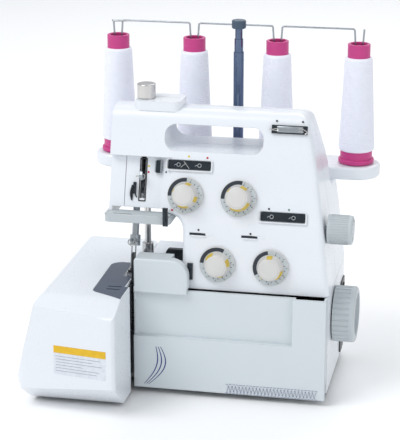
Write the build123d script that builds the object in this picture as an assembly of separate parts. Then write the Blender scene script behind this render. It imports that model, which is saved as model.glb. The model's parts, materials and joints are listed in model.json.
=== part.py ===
"""Serger overlock machine: a domestic four thread overlocker in its separate pieces.

Lengths are millimetres, +Z is up, +Y is the back and +X is the handwheel end. Everything is
drawn from the front right bottom corner of the base, then moved so that the origin is at the
bottom centre of the whole machine.
"""
from build123d import *
import os
from math import cos, hypot, radians, sin, tan

# ---- fits -------------------------------------------------------------------------------
RUN_FIT = 0.05          # radial clearance of a pin or shaft in its bore
SEAM = 0.5              # gap between two shells that meet
FREE = 0.8              # gap beside a piece that moves past another
WALL = 3.0              # shell wall

# ---- base -------------------------------------------------------------------------------
COVER_LEFT = -198.5     # left end of the looper cover
BODY_D = 150.0          # base depth, front to back
BED_Z = 118.0           # sewing surface
SEAM_Z = 113.5          # joint between base and upper shells
FOOT_H = 6.0
FOOT_D = 20.0
PLATE_T = 4.0           # base plate
PLATE_FRONT = 16.0      # front edge of the base plate
EXT_LEFT = -270.0       # left end of the base plate, under the cloth plate
EXT_Y = (25.0, 142.0)
PLATE_Z = (FOOT_H, FOOT_H + PLATE_T)
FEET = ((-18.0, 30.0), (-18.0, 134.0), (-252.0, 42.0), (-252.0, 126.0))
LUGS_X = ((-182.0, -174.0), (-104.0, -96.0), (-26.0, -18.0))    # on the base plate
KNUCKLES_X = ((-170.0, -162.0), (-43.0, -35.0))                 # on the looper cover
SCREW_D = 3.0
SCREW_HEAD = (7.0, 1.8)         # width and height
REAR_SCREWS = ((-16.0, 28.0), (-16.0, 98.0), (-135.0, 28.0), (-135.0, 98.0))

# ---- column, arm and handle ------------------------------------------------------------
TOP_Z = 290.0
COLUMN_LEFT = -151.0
HEAD_LEFT = -230.0
ARM_Z = 187.0           # underside of the arm
CREASE_Z = 178.0        # where the front panel starts to lean back
PANEL_Y = (12.0, 18.0, 51.0)    # panel front at the seam, the crease and the top
TOP_BACK_Y = 86.0
WAIST = (108.0, 240.0)  # back of the upper body, Y and Z
LEDGE_Z = 205.5         # ledge that carries the spool stand
SIDE_X = (0.0, -8.0, -16.0, -24.0, -30.0)
SIDE_Z = (SEAM_Z, CREASE_Z, 229.0, 265.0, TOP_Z)
SPLIT_Y = 74.0          # joint between the front and rear shells
SLOT_X = (-174.0, -73.0)        # hand hole under the handle
SLOT_Z = (250.0, 276.0)
SLOT_R = 11.0
RECESS_DEPTH = 8.0      # threading recess in the head
RECESS_TOP = 243.0
RECESS_RIGHT = -165.0
RECESS_FACET = 12.0     # width of the slanted side of the recess
SKIRT_Z = 179.0         # lowest edge of the head
COVER_JOINT = HEAD_LEFT + 16.0          # right edge of the head's end cover
CREASE_R = 100.0        # soft bend of the front panel at the crease
EDGE_R = 6.0            # rounded upright edges of the upper shell
BACK_EDGE_R = 5.0
TAKE_UP_X = -196.0
TAKE_UP_SLOT = (5.0, 200.0, 241.0)      # width, bottom and top

# ---- tension dials, guides -------------------------------------------------------------
DIAL_PLACES = ((-149.3, 207.5), (-94.7, 207.5), (-113.8, 140.8), (-59.4, 140.8))
DIAL_SKIRT_D = 36.5
DIAL_CAP_D = 26.5
DIAL_TOP_D = 22.0
DIAL_GAP = 0.6          # between the dial and the panel
DIAL_SKIRT_T = 3.0
DIAL_H = 13.0
DIAL_POST_D = 6.0
GUIDE_PLATES = ((-47.0, 275.9, 36.0), (-147.0, 237.0, 43.0), (-49.0, 191.9, 44.0))
GUIDE_H = 8.5
GUIDE_T = 1.2
GUIDE_STAND = 2.4
SLITS = ((-128.0, 170.4), (-74.8, 170.6))
SLIT_W = 17.0

# ---- frame casting ---------------------------------------------------------------------
CASTING_X = (-190.0, -45.0)
CASTING_Y = (36.0, 78.0)
CASTING_BED_Z = (40.0, 98.0)
CASTING_ARM_X = -213.0
CASTING_ARM_Y = (50.0, 95.0)
CASTING_ARM_Z = (206.0, 238.0)
CASTING_FOOT_X = -150.0         # left end of the foot on the base plate
CASTING_COLUMN_X = -112.0       # left side of the column
CASTING_COLUMN_Y = (44.0, 100.0)

# ---- shafts, motor and belt ------------------------------------------------------------
BUSH_D = 18.0
BUSHES_X = ((-190.0, -176.0), (-60.0, -45.0))
HUB_D = 16.0
SHAFT_Y = 60.0
SHAFT_Z = 80.0
SHAFT_D = 12.0
WHEEL_D = 58.0
WHEEL_X = (1.2, 24.0)
PULLEY_D = 48.0
PULLEY_X = (-28.0, -16.0)
MOTOR_Y = 112.0
MOTOR_Z = 42.0
MOTOR_D = 54.0
MOTOR_X = (-120.0, -34.0)
MOTOR_PULLEY_D = 16.0
MOTOR_SHAFT_D = 6.0
SADDLE_HALF = 17.0      # half the depth of the block under the motor
BELT_T = 2.0
BELT_W = 8.0
BELT_GAP = 0.3

# ---- needle bar, presser and take-up ---------------------------------------------------
NEEDLE_BAR = (-206.0, 44.0, 160.0)      # a point on the bar's axis
BAR_LEAN = 15.0         # degrees back from upright
BAR_D = 7.0
BAR_TOP = 70.0          # distances along the bar from the reference point
CLAMP = (-14.0, -3.0)
CLAMP_D = 11.0
NEEDLE_TIP = -38.0
NEEDLE_D = 1.4
NEEDLES_DX = (-3.0, 1.0)
NEEDLE_STROKE = 18.0
PRESSER_X = -198.6
PRESSER_Y = 68.0
PRESSER_Z = (132.0, 276.0)
PRESSER_LIFT = 6.0
COLLAR_D = 16.0
COLLAR_Z = (240.0, 244.0)
SPRING_TOP = 284.0
SPRING_R = 6.0
SPRING_WIRE = 1.4
SPRING_PITCH = 5.0
FOOT_GAP = 0.7          # sole above the bed at rest
FOOT_T = 2.4
SOLE_X = (-212.0, -184.0)
SOLE_Y = (26.0, 76.0)
LIFTER = (-184.0, 84.0, 214.0)          # pivot of the presser foot lifter
LIFTER_T = 4.0
LIFTER_R = 52.0
LIFTER_SWING = 35.0
LIFTER_PIN_D = 5.0
LIFTER_NOTCH = 9.0      # height of the notch in the back of the arm
LIFTER_PIN_HALF = 8.0
TAKE_UP_PIVOT = (54.0, 222.0)
TAKE_UP_R = 24.0
TAKE_UP_T = 2.4
TAKE_UP_SWING = 35.0
TAKE_UP_PIN_D = 4.0
KNOB_D = 19.0
KNOB_STEM_D = 8.0
KNOB_Z = (297.4, 312.0)
BOSS = (-208.0, -160.0, 52.0, 90.0)

# ---- loopers, knives and feed ----------------------------------------------------------
LOWER_LOOPER = (-172.0, 52.0)           # pivot X and Z
UPPER_LOOPER = (-163.0, 84.0)
LOOPER_PIN_D = 6.0
LOOPER_PIN_BACK = 52.0
KNIFE_X = (-202.4, -199.4)
KNIFE_Y = (8.0, 18.0)
KNIFE_Z = (64.0, 147.0)
KNIFE_TRAVEL = 5.0
GUARD = (35.0, 11.5)    # width and height of the dark guard on the bed
PLATE_LEFT = -213.5     # left edge of the needle plate
PLATE_Y = (24.0, 80.0)
PLATE_RIGHT = -168.0
PLATE_THICK = 2.0
FEED_SLOT = 1.0         # clearance beside the feed dogs
FEED_TRAVEL = 3.0
FEED_X = (-197.0, -183.0)
FEED_MAIN_Y = (54.0, 68.0)
FEED_DIFF_Y = (32.0, 44.0)

# ---- looper cover ----------------------------------------------------------------------
HINGE_Y = 9.0
HINGE_Z = 13.0
HINGE_D = 5.0
KNUCKLE_D = 10.0
COVER_BOTTOM = 6.0
COVER_STEP_Z = 63.0
COVER_STEP = 5.0
COVER_PILLAR = 32.0
COVER_SLIDE = 7.0
COVER_TILT = 75.0
HUMP_X = (-198.0, -142.0)
HUMP_TOP = 146.0
HUMP_BOTTOM = 116.0
HUMP_BACK = 22.0
HUMP_DEEP_X = -160.0    # right end of the deep part, clear of the column when it slides
HUMP_FRONT_BACK = 9.8   # back of the shallow part that crosses the column

# ---- cloth plate -----------------------------------------------------------------------
CLOTH_RIGHT = -200.0
CLOTH_EDGE = -204.0     # right edge behind the needle plate
CLOTH_FRONT = -75.0
CLOTH_TOP_LEFT = -284.0
CLOTH_LEFT = -306.0
CLOTH_FLARE_Z = 32.0
CLOTH_BOTTOM_Z = 4.0
CLOTH_RIDGE_Z = 107.0
CLOTH_BACK = 146.0
CLOTH_PIVOT = (-216.0, 134.0)
PIVOT_D = 6.0
CLOTH_SWING = 60.0
CLOTH_WALL_BACK = -9.0  # back end of the right wall
CLOTH_NOTCH_GAP = 1.6   # room for the swing behind the needle plate
INSERT_DEPTH = 1.4
INSERT_ROUNDS = {1: 12.0, 2: 9.0}       # corner number and radius

# ---- spool stand, cones and telescopic pole --------------------------------------------
TRAY_X = (-272.0, 35.0)
TRAY_Y = (120.0, 170.0)
TRAY_TOP = 219.0
TRAY_T = 13.5
CONES_X = (-247.0, -164.5, -76.0, 9.4)
CONE_Y = 145.0
SPOOL_PIN_D = 6.0
SPOOL_PIN_TOP = 290.0
CONE_FLANGE = (37.5, 5.0)
CONE_SKIRT_D = 33.5
CONE_CORE_D = 22.0
CONE_BORE_D = 17.0
CONE_TOP_D = 23.5
CONE_Z = (233.0, 332.0, 345.0)          # thread bottom, thread top, core top
THREAD_D = (37.0, 28.4)
POLE_X = -117.0
POLE_D = (11.0, 9.4, 7.8)
POLE_TOPS = (332.0, 346.0, 357.0)
POLE_BOTTOMS = (208.0, 225.0, 236.0)
POLE_WALL = 0.75
CAP_W = 15.0
CAP_Z = (357.0, 366.0)
WIRE_D = 2.0
WIRE_Z = 361.0
DIP_W = (10.0, 7.0)
DIP_Z = 338.0
POLE_TRAVEL = 90.0

# ---- right side controls ---------------------------------------------------------------
LENGTH_DIAL = (40.0, 177.0, 29.5)       # Y, Z and diameter
LENGTH_DIAL_X = (-5.4, 20.0)
SOCKET_Y = (114.0, 142.0)
SOCKET_Z = (14.0, 94.0)
SOCKET_PROUD = 1.2
SWITCH = (13.0, 20.0, 78.0)             # width, height and centre Z
INLET = (20.0, 16.0, 40.0, 12.0)        # width, height, centre Z and depth

# ---- the origin ------------------------------------------------------------------------
X_MID = (CLOTH_LEFT + TRAY_X[1]) / 2
Y_MID = (CLOTH_FRONT + TRAY_Y[1]) / 2


# ---- small helpers ---------------------------------------------------------------------
def block(x, y, z):
    """A box from three (low, high) pairs."""
    return Pos((x[0] + x[1]) / 2, (y[0] + y[1]) / 2, (z[0] + z[1]) / 2) * Box(
        x[1] - x[0], y[1] - y[0], z[1] - z[0])


def rod_x(d, x, y, z):
    return Pos((x[0] + x[1]) / 2, y, z) * Rot(0, 90, 0) * Cylinder(d / 2, x[1] - x[0])


def rod_y(d, x, y, z):
    return Pos(x, (y[0] + y[1]) / 2, z) * Rot(90, 0, 0) * Cylinder(d / 2, y[1] - y[0])


def rod_z(d, x, y, z):
    return Pos(x, y, (z[0] + z[1]) / 2) * Cylinder(d / 2, z[1] - z[0])


def outline(plane, points, rounds=None):
    """A face through the points, with the listed corners rounded: {corner number: radius}."""
    face = make_face(plane * Polyline(*points, close=True))
    for number, radius in (rounds or {}).items():
        corner = plane.from_local_coords(Vector(*points[number]))
        vertex = min(face.vertices(), key=lambda v: (Vector(*v.to_tuple()) - corner).length)
        face = fillet(vertex, radius)
    return face


def side_prism(points, x, rounds=None):
    """Points are (Y, Z), extruded along X."""
    return Pos(x[0], 0, 0) * extrude(outline(Plane.YZ, points, rounds), x[1] - x[0], dir=(1, 0, 0))


def front_prism(points, y, rounds=None):
    """Points are (X, Z), extruded along Y."""
    return Pos(0, y[0], 0) * extrude(outline(Plane.XZ, points, rounds), y[1] - y[0], dir=(0, 1, 0))


def top_prism(points, z, rounds=None):
    """Points are (X, Y), extruded along Z."""
    return Pos(0, 0, z[0]) * extrude(outline(Plane.XY, points, rounds), z[1] - z[0], dir=(0, 0, 1))


def stadium(x, y, z):
    """A slab with fully rounded ends along X."""
    width = y[1] - y[0]
    return Pos((x[0] + x[1]) / 2, (y[0] + y[1]) / 2, z[0]) * extrude(
        SlotOverall(x[1] - x[0], width), amount=z[1] - z[0])


def panel_slope(z):
    """How far the front panel goes back for each millimetre up."""
    if z < CREASE_Z:
        return (PANEL_Y[1] - PANEL_Y[0]) / (CREASE_Z - SEAM_Z)
    return (PANEL_Y[2] - PANEL_Y[1]) / (TOP_Z - CREASE_Z)


def panel_y(z):
    return PANEL_Y[1] + (z - CREASE_Z) * panel_slope(z)


def on_panel(x, z, depth=0.0):
    """The place on the front panel at X and Z, with local +Z pointing out of the panel."""
    slope = panel_slope(z)
    plane = Plane(origin=(x, panel_y(z), z), x_dir=(1, 0, 0), z_dir=(0, -1, slope))
    return plane.location * Pos(0, 0, -depth)


def side_x(z):
    """X of the right side of the column at height z."""
    for x0, x1, z0, z1 in zip(SIDE_X, SIDE_X[1:], SIDE_Z, SIDE_Z[1:]):
        if z <= z1:
            return x0 + (x1 - x0) * (z - z0) / (z1 - z0)
    return SIDE_X[-1]


def along_bar(distance):
    """A point on the leaning needle bar, measured up the bar from its reference point."""
    lean = radians(BAR_LEAN)
    return (NEEDLE_BAR[0], NEEDLE_BAR[1] + distance * sin(lean), NEEDLE_BAR[2] + distance * cos(lean))


def bar_rod(d, low, high, dx=0.0):
    """A rod along the needle bar's leaning axis."""
    x, y, z = along_bar((low + high) / 2)
    return Pos(x + dx, y, z) * Rot(-BAR_LEAN, 0, 0) * Cylinder(d / 2, high - low)


# ---- upper shells ----------------------------------------------------------------------
def upper_block(inset):
    """The column, arm and handle as one block, smaller all round by inset."""
    i = inset
    lean = [panel_slope(SEAM_Z), panel_slope(TOP_Z)]
    front = [(y + i * hypot(1, s)) for y, s in zip(PANEL_Y, (lean[0], lean[1], lean[1]))]
    profile = [(front[0], SEAM_Z), (front[1], CREASE_Z), (front[2], TOP_Z - i),
               (TOP_BACK_Y - i, TOP_Z - i), (WAIST[0] - i, WAIST[1]),
               (WAIST[0] - i, LEDGE_Z - i), (BODY_D - i, LEDGE_Z - i), (BODY_D - i, SEAM_Z)]
    solid = side_prism(profile, (HEAD_LEFT + i, -i), {2: 14 - i, 3: 14 - i, 6: 10 - i})
    shape = [(COLUMN_LEFT + i, SEAM_Z), (COLUMN_LEFT + i, ARM_Z + i), (HEAD_LEFT + i, ARM_Z + i),
             (HEAD_LEFT + 6 + i, TOP_Z - i)]
    shape += [(x - i, z if z < TOP_Z else TOP_Z - i) for x, z in reversed(list(zip(SIDE_X, SIDE_Z)))]
    solid &= front_prism(shape, (0, BODY_D), {1: 16 + i, 3: 14 - i, 4: 14 - i})
    back_cut = block((HEAD_LEFT - 1, COLUMN_LEFT + i), (WAIST[0] - i, BODY_D + 1), (SEAM_Z, TOP_Z))
    solid -= back_cut
    return solid if inset else soften(solid)


def soften(solid):
    """Round the outside of the upper block: the crease, then the upright edges."""
    crease = [e for e in solid.edges() if abs(e.center().Z - CREASE_Z) < 1 and e.center().Y < PANEL_Y[1] + 1]
    solid = fillet(crease, CREASE_R)
    low = (SEAM_Z + CREASE_Z) / 2
    for x, y, z, radius in ((side_x(low), panel_y(low), low, EDGE_R),
                            (COLUMN_LEFT, panel_y(low), low, EDGE_R),
                            (side_x(low), BODY_D, low, BACK_EDGE_R)):
        nearest = min(solid.edges(), key=lambda e: (e.center() - Vector(x, y, z)).length)
        solid = fillet(nearest, radius)
    return solid


def recess(inset):
    """The threading recess: it follows the lean of the panel and has a slanted right side."""
    depth = RECESS_DEPTH + inset
    low = SKIRT_Z - 1
    top = RECESS_TOP + inset
    left = HEAD_LEFT - 1
    plan = [(left, -40), (RECESS_RIGHT + inset, -40), (RECESS_RIGHT + inset, 0),
            (RECESS_RIGHT - RECESS_FACET + inset, depth), (left, depth)]
    face = make_face(Polyline(*plan, close=True))
    slope = panel_slope(TOP_Z)
    tool = extrude(face, amount=(top - low) * hypot(1, slope), dir=(0, slope, 1))
    return Pos(0, panel_y(TOP_Z) - (TOP_Z - low) * slope, low) * tool


def hand_hole(grow):
    """The hole under the handle, larger all round by grow."""
    g = grow
    x = (SLOT_X[0] - g, SLOT_X[1] + g)
    z = (SLOT_Z[0] - g, SLOT_Z[1] + g)
    points = [(x[0], z[0]), (x[1], z[0]), (x[1], z[1]), (x[0], z[1])]
    return front_prism(points, (-1, BODY_D), {n: SLOT_R + g for n in range(4)})


def upper_shell():
    """The hollow upper body before it is parted into its front and rear shells."""
    outer = upper_block(0) - recess(0) - hand_hole(0)
    inner = upper_block(WALL) - recess(WALL) - hand_hole(WALL)
    return outer - inner


def skirt():
    """The grey lip round the lower edge of the head."""
    front = panel_y(ARM_Z) - 6
    tray = block((HEAD_LEFT - 1.5, RECESS_RIGHT + 1), (front, WAIST[0] - 20), (SKIRT_Z, ARM_Z))
    tray = fillet(tray.edges().filter_by(Axis.Z), 5)
    hollow = block((HEAD_LEFT + WALL, RECESS_RIGHT - WALL), (front + WALL, WAIST[0] - 24),
                   (SKIRT_Z - 1, ARM_Z + WALL + 1))
    return tray, hollow


def front_half():
    front_keep = block((HEAD_LEFT - 5, 5), (-5, SPLIT_Y - SEAM / 2), (SKIRT_Z - 80, TOP_Z + 30))
    shell = upper_shell()
    tray, hollow = skirt()
    shell = shell + tray - hollow
    boss = block(BOSS[:2], BOSS[2:], (TOP_Z - WALL, KNOB_Z[0] - 0.4))
    boss = fillet(boss.edges().filter_by(Axis.Z), 8)
    shell = shell + boss
    shell -= rod_z(KNOB_STEM_D + 2 * RUN_FIT, PRESSER_X, PRESSER_Y, (TOP_Z - 10, KNOB_Z[0] + 1))
    width, low, high = TAKE_UP_SLOT
    shell -= block((TAKE_UP_X - width / 2, TAKE_UP_X + width / 2), (20, 56), (low, high))
    for x, z in DIAL_PLACES:
        shell -= on_panel(x, z) * Cylinder(DIAL_POST_D / 2 + RUN_FIT, 4 * WALL)
    for x, z in SLITS:
        shell -= on_panel(x, z) * Box(SLIT_W, 2, 2.4)
    shell -= length_dial_bore()
    return shell, front_keep


def length_dial_bore():
    y, z, d = LENGTH_DIAL
    return rod_x(DIAL_POST_D + 2 * RUN_FIT, (side_x(z) - 30, 5), y, z)


def front_shell():
    shell, front_keep = front_half()
    cover_zone = block((HEAD_LEFT - 5, COVER_JOINT), (-5, TOP_Z), (SKIRT_Z - 1, RECESS_TOP))
    return (shell & front_keep) - cover_zone


def face_cover():
    """The end cover over the needle bar mechanism."""
    shell, front_keep = front_half()
    cover_zone = block((HEAD_LEFT - 5, COVER_JOINT - SEAM), (-5, TOP_Z),
                       (SKIRT_Z - 1, RECESS_TOP - SEAM))
    return (shell & front_keep) & cover_zone


def rear_shell():
    shell, front_keep = front_half()
    rear = shell - block((HEAD_LEFT - 5, 5), (-5, SPLIT_Y + SEAM / 2), (SKIRT_Z - 80, TOP_Z + 30))
    x, y, _ = LIFTER
    half = LIFTER_T / 2 + FREE
    gap = block((x - half, x + half), (y - 8, WAIST[0] + 1), (ARM_Z - 10, ARM_Z + LIFTER_NOTCH))
    return rear - gap


# ---- base --------------------------------------------------------------------------------

def base_plate():
    """The floor of the machine, with the cover's hinge lugs and the cloth plate's pivot post."""
    main = block((COVER_LEFT, -0.5), (PLATE_FRONT, BODY_D), PLATE_Z)
    extension = top_prism([(COVER_LEFT - 6, EXT_Y[0]), (EXT_LEFT, EXT_Y[0]), (EXT_LEFT, EXT_Y[1]),
                           (COVER_LEFT - 6, EXT_Y[1])], PLATE_Z, {1: 12, 2: 12})
    plate = main + extension + block((COVER_LEFT - 8, COVER_LEFT + 4), EXT_Y, PLATE_Z)
    for x in LUGS_X:
        plate += rod_x(KNUCKLE_D, x, HINGE_Y, HINGE_Z)
        plate += block(x, (HINGE_Y, PLATE_FRONT + 2), (HINGE_Z - KNUCKLE_D / 2, HINGE_Z + KNUCKLE_D / 2))
    plate -= rod_x(HINGE_D + 2 * RUN_FIT, (COVER_LEFT, 0), HINGE_Y, HINGE_Z)
    plate += rod_z(PIVOT_D, *CLOTH_PIVOT, (PLATE_Z[0], BED_Z - 12))
    for x, y in FEET:
        plate -= rod_z(FOOT_D / 2, x, y, PLATE_Z)
    return plate


def rubber_feet():
    feet = Part()
    for x, y in FEET:
        pad = rod_z(FOOT_D, x, y, (0, FOOT_H))
        pad = fillet(pad.faces().sort_by(Axis.Z)[0].edges(), 2)
        feet += pad + rod_z(FOOT_D / 2, x, y, (FOOT_H, PLATE_Z[1]))
    return feet


def base_housing():
    """The lower casing round the motor: right side, back and the wall beside the bed."""
    z = (PLATE_Z[1], SEAM_Z - SEAM)
    front = PANEL_Y[0]
    outer = block((COLUMN_LEFT, 0), (front, BODY_D), z)
    outer = fillet(outer.edges().filter_by(Axis.Z).sort_by(Axis.Y)[-2:], 8)
    shell = outer - block((COLUMN_LEFT + WALL, -WALL), (front - 1, BODY_D - WALL), (z[0] - 1, z[1] + 1))
    shell -= block((COLUMN_LEFT - 1, COLUMN_LEFT + WALL + 1), (front - 1, CASTING_Y[1] + 2), z)
    shell -= rod_x(HUB_D + 2, (-WALL - 1, 1), SHAFT_Y, SHAFT_Z)
    shell -= block((-WALL - 1, 1), inlet_y(), inlet_z())
    shell -= block((-WALL - 1, 1), switch_y(SEAM), switch_z(SEAM))
    for x, z in REAR_SCREWS:
        shell -= rod_y(SCREW_D, x, (BODY_D - WALL - 1, BODY_D + 1), z)
    return shell


def housing_screws():
    screws = Part()
    for x, z in REAR_SCREWS:
        screws += rod_y(SCREW_D, x, (BODY_D - 10, BODY_D), z)
        screws += rod_y(SCREW_HEAD[0], x, (BODY_D, BODY_D + SCREW_HEAD[1]), z)
    return screws


def bed_housing():
    """The fixed part of the bed, behind the looper cover."""
    right = COLUMN_LEFT - SEAM
    left = CLOTH_EDGE + SEAM
    front = HUMP_BACK + 4 * FREE
    top = [(right, front), (right, CLOTH_BACK - SEAM), (left, CLOTH_BACK - SEAM),
           (left, PLATE_Y[1] + WALL), (PLATE_LEFT, PLATE_Y[1] + WALL), (PLATE_LEFT, PLATE_Y[0]),
           (left, PLATE_Y[0]), (left, front)]
    shell = top_prism(top, (BED_Z - 2 * WALL, BED_Z))
    shell -= block((PLATE_LEFT, PLATE_RIGHT), PLATE_Y, (BED_Z - PLATE_THICK, BED_Z + 1))
    shell -= block((PLATE_LEFT + 2, PLATE_RIGHT - 4), (PLATE_Y[0] + 2, PLATE_Y[1] - 4),
                   (BED_Z - 3 * WALL, BED_Z + 1))
    low = PLATE_Z[1]
    shell += block((left, right), (CLOTH_BACK - SEAM - WALL, CLOTH_BACK - SEAM), (low, BED_Z))
    shell += block((left, left + WALL), (PLATE_Y[1] + WALL, CLOTH_BACK - SEAM), (low, BED_Z))
    return shell


def needle_line(z):
    """Y of the needles' axis at height z."""
    return NEEDLE_BAR[1] + (z - NEEDLE_BAR[2]) * tan(radians(BAR_LEAN))


def needle_plate():
    plate = block((PLATE_LEFT, PLATE_RIGHT), PLATE_Y, (BED_Z - PLATE_THICK, BED_Z))
    for y in (FEED_MAIN_Y, FEED_DIFF_Y):
        low = y[0] - FEED_TRAVEL - FEED_SLOT
        high = y[1] + FEED_TRAVEL + FEED_SLOT
        plate -= block((FEED_X[0] - FEED_SLOT, FEED_X[1] + FEED_SLOT), (low, high), (BED_Z - 4, BED_Z + 1))
    y = needle_line(BED_Z)
    x = [NEEDLE_BAR[0] + dx for dx in NEEDLES_DX]
    return plate - block((x[0] - 2, x[1] + 2), (y - 4, y + 4), (BED_Z - 4, BED_Z + 1))


def knife_guard():
    """The dark guard on the bed, against the column."""
    right = COLUMN_LEFT - SEAM
    top = BED_Z + GUARD[1]
    points = [(right, BED_Z), (right, top), (right - GUARD[0] + 5, top), (right - GUARD[0], BED_Z)]
    return front_prism(points, (84, 90), {2: 3})


def lower_knife():
    blade = block(KNIFE_X, (KNIFE_Y[1] + 1, PLATE_Y[0] - SEAM), (CASTING_BED_Z[1], BED_Z - 0.4))
    foot = block((KNIFE_X[0], CASTING_X[0] + 12), (CASTING_Y[0], CASTING_Y[0] + 10),
                 (CASTING_BED_Z[1], CASTING_BED_Z[1] + 4))
    arm = block(KNIFE_X, (KNIFE_Y[1] + 1, CASTING_Y[0] + 10), (CASTING_BED_Z[1], CASTING_BED_Z[1] + 4))
    return blade + foot + arm


# ---- frame, shafts and motor -------------------------------------------------------------
def lifter_slot(low, high):
    x, y, z = LIFTER
    half = LIFTER_T / 2 + FREE
    return block((x - half, x + half), (y - 8, WAIST[0] - WALL - 0.5), (low, high))


def frame_casting():
    """The cast frame inside: foot, bed, column and arm, bored for every shaft."""
    frame = block(CASTING_X, CASTING_Y, CASTING_BED_Z)
    right = CASTING_X[1]
    frame += block((CASTING_FOOT_X, right), CASTING_Y, (PLATE_Z[1], CASTING_BED_Z[0]))
    frame += block((CASTING_COLUMN_X, right), CASTING_COLUMN_Y, (CASTING_BED_Z[1], CASTING_ARM_Z[0]))
    frame += block((CASTING_ARM_X, CASTING_X[1]), CASTING_ARM_Y, CASTING_ARM_Z)
    frame -= rod_x(SHAFT_D + 2, (CASTING_X[0] - 1, CASTING_X[1] + 1), SHAFT_Y, SHAFT_Z)
    for x in BUSHES_X:
        frame -= rod_x(BUSH_D, x, SHAFT_Y, SHAFT_Z)
    for x, z in (LOWER_LOOPER, UPPER_LOOPER):
        frame -= rod_y(LOOPER_PIN_D + 2 * RUN_FIT, x, (CASTING_Y[0] - 1, LOOPER_PIN_BACK + 1), z)
    frame -= bar_rod(BAR_D + 2 * RUN_FIT, 30, 95)
    arm = (CASTING_ARM_Z[0] - 1, CASTING_ARM_Z[1] + 1)
    frame -= rod_z(BAR_D + 2 * RUN_FIT, PRESSER_X, PRESSER_Y, arm)
    y, z = TAKE_UP_PIVOT
    half = TAKE_UP_T / 2 + FREE
    frame -= block((TAKE_UP_X - half, TAKE_UP_X + half), (y - 6, y + 7), arm)
    frame -= rod_x(TAKE_UP_PIN_D + 2 * RUN_FIT, take_up_pin_x(), y, z)
    x, y, z = LIFTER
    frame -= lifter_slot(CASTING_ARM_Z[0] - 1, z + 9)
    frame -= rod_x(LIFTER_PIN_D + 2 * RUN_FIT, (x - LIFTER_PIN_HALF, x + LIFTER_PIN_HALF), y, z)
    return frame


def take_up_pin_x():
    return (TAKE_UP_X - 4.6, TAKE_UP_X + 4.6)


def shaft_bushes():
    bushes = Part()
    for x in BUSHES_X:
        bushes += rod_x(BUSH_D, x, SHAFT_Y, SHAFT_Z) - rod_x(SHAFT_D + 2 * RUN_FIT, x, SHAFT_Y, SHAFT_Z)
    return bushes


def main_shaft():
    shaft = rod_x(SHAFT_D, (BUSHES_X[0][0] + 1, WHEEL_X[0] + 8), SHAFT_Y, SHAFT_Z)
    return chamfer(shaft.faces().sort_by(Axis.X)[0].edges(), 0.8)


def handwheel():
    """The knurled wheel with a dished face and a hub that reaches the shaft."""
    rim = rod_x(WHEEL_D, WHEEL_X, SHAFT_Y, SHAFT_Z)
    rim = fillet(rim.faces().sort_by(Axis.X)[-1].edges(), 3)
    dish = rod_x(WHEEL_D - 14, (WHEEL_X[1] - 4, WHEEL_X[1] + 1), SHAFT_Y, SHAFT_Z)
    cup = rod_x(WHEEL_D - 10, (WHEEL_X[0] - 1, WHEEL_X[0] + 8), SHAFT_Y, SHAFT_Z)
    wheel = rim - dish - cup
    for turn in range(30):
        groove = rod_x(2.4, (WHEEL_X[0] - 1, WHEEL_X[1] - 6), SHAFT_Y, SHAFT_Z + WHEEL_D / 2 + 0.5)
        wheel -= spin_x(groove, 12 * turn, SHAFT_Y, SHAFT_Z)
    wheel += rod_x(HUB_D, (PULLEY_X[1] + 1, WHEEL_X[1] - 4), SHAFT_Y, SHAFT_Z)
    return wheel - rod_x(SHAFT_D, (PULLEY_X[1], WHEEL_X[0] + 8), SHAFT_Y, SHAFT_Z)


def spin_x(shape, angle, y, z):
    """Turn a shape about an axis along X through Y and Z."""
    return Pos(0, y, z) * Rot(angle, 0, 0) * Pos(0, -y, -z) * shape


def pulley(d, bore, y, z):
    wheel = rod_x(d, PULLEY_X, y, z)
    for x in PULLEY_X:
        flange = (x - 1, x) if x == PULLEY_X[0] else (x, x + 1)
        wheel += rod_x(d + 2 * BELT_T, flange, y, z)
    return wheel - rod_x(bore, (PULLEY_X[0] - 2, PULLEY_X[1] + 2), y, z)


def driven_pulley():
    return pulley(PULLEY_D, SHAFT_D, SHAFT_Y, SHAFT_Z)


def motor_pulley():
    """The small pulley on the motor's own shaft."""
    shaft = rod_x(MOTOR_SHAFT_D, (MOTOR_X[1] - 20, PULLEY_X[1] + 2), MOTOR_Y, MOTOR_Z)
    return pulley(MOTOR_PULLEY_D, MOTOR_SHAFT_D, MOTOR_Y, MOTOR_Z) + shaft


def motor_body():
    can = rod_x(MOTOR_D, MOTOR_X, MOTOR_Y, MOTOR_Z)
    can = fillet(can.edges().filter_by(GeomType.CIRCLE), 4)
    saddle_x = (MOTOR_X[0] + 10, MOTOR_X[1] - 10)
    saddle = block(saddle_x, (MOTOR_Y - SADDLE_HALF, MOTOR_Y + SADDLE_HALF), (PLATE_Z[1], MOTOR_Z - 10))
    bore = rod_x(MOTOR_SHAFT_D + 2 * RUN_FIT, (MOTOR_X[1] - 21, MOTOR_X[1] + 1), MOTOR_Y, MOTOR_Z)
    return can + saddle - bore


def belt_loop(grow):
    """The outline round both pulleys, a distance grow outside them."""
    big = Pos(SHAFT_Y, SHAFT_Z) * Circle(PULLEY_D / 2 + grow)
    small = Pos(MOTOR_Y, MOTOR_Z) * Circle(MOTOR_PULLEY_D / 2 + grow)
    return Plane.YZ * make_hull(big.edges() + small.edges())


def drive_belt():
    middle = sum(PULLEY_X) / 2
    outer = extrude(belt_loop(BELT_GAP + BELT_T - 0.5), BELT_W, dir=(1, 0, 0))
    inner = extrude(belt_loop(BELT_GAP), BELT_W, dir=(1, 0, 0))
    return Pos(middle - BELT_W / 2, 0, 0) * (outer - inner)


# ---- needle bar, presser, take-up --------------------------------------------------------
def needle_bar():
    bar = bar_rod(BAR_D, CLAMP[0], BAR_TOP) + bar_rod(CLAMP_D, *CLAMP)
    for dx in NEEDLES_DX:
        bar -= bar_rod(NEEDLE_D, CLAMP[0] - 1, CLAMP[0] + 8, dx)
    return bar


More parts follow.
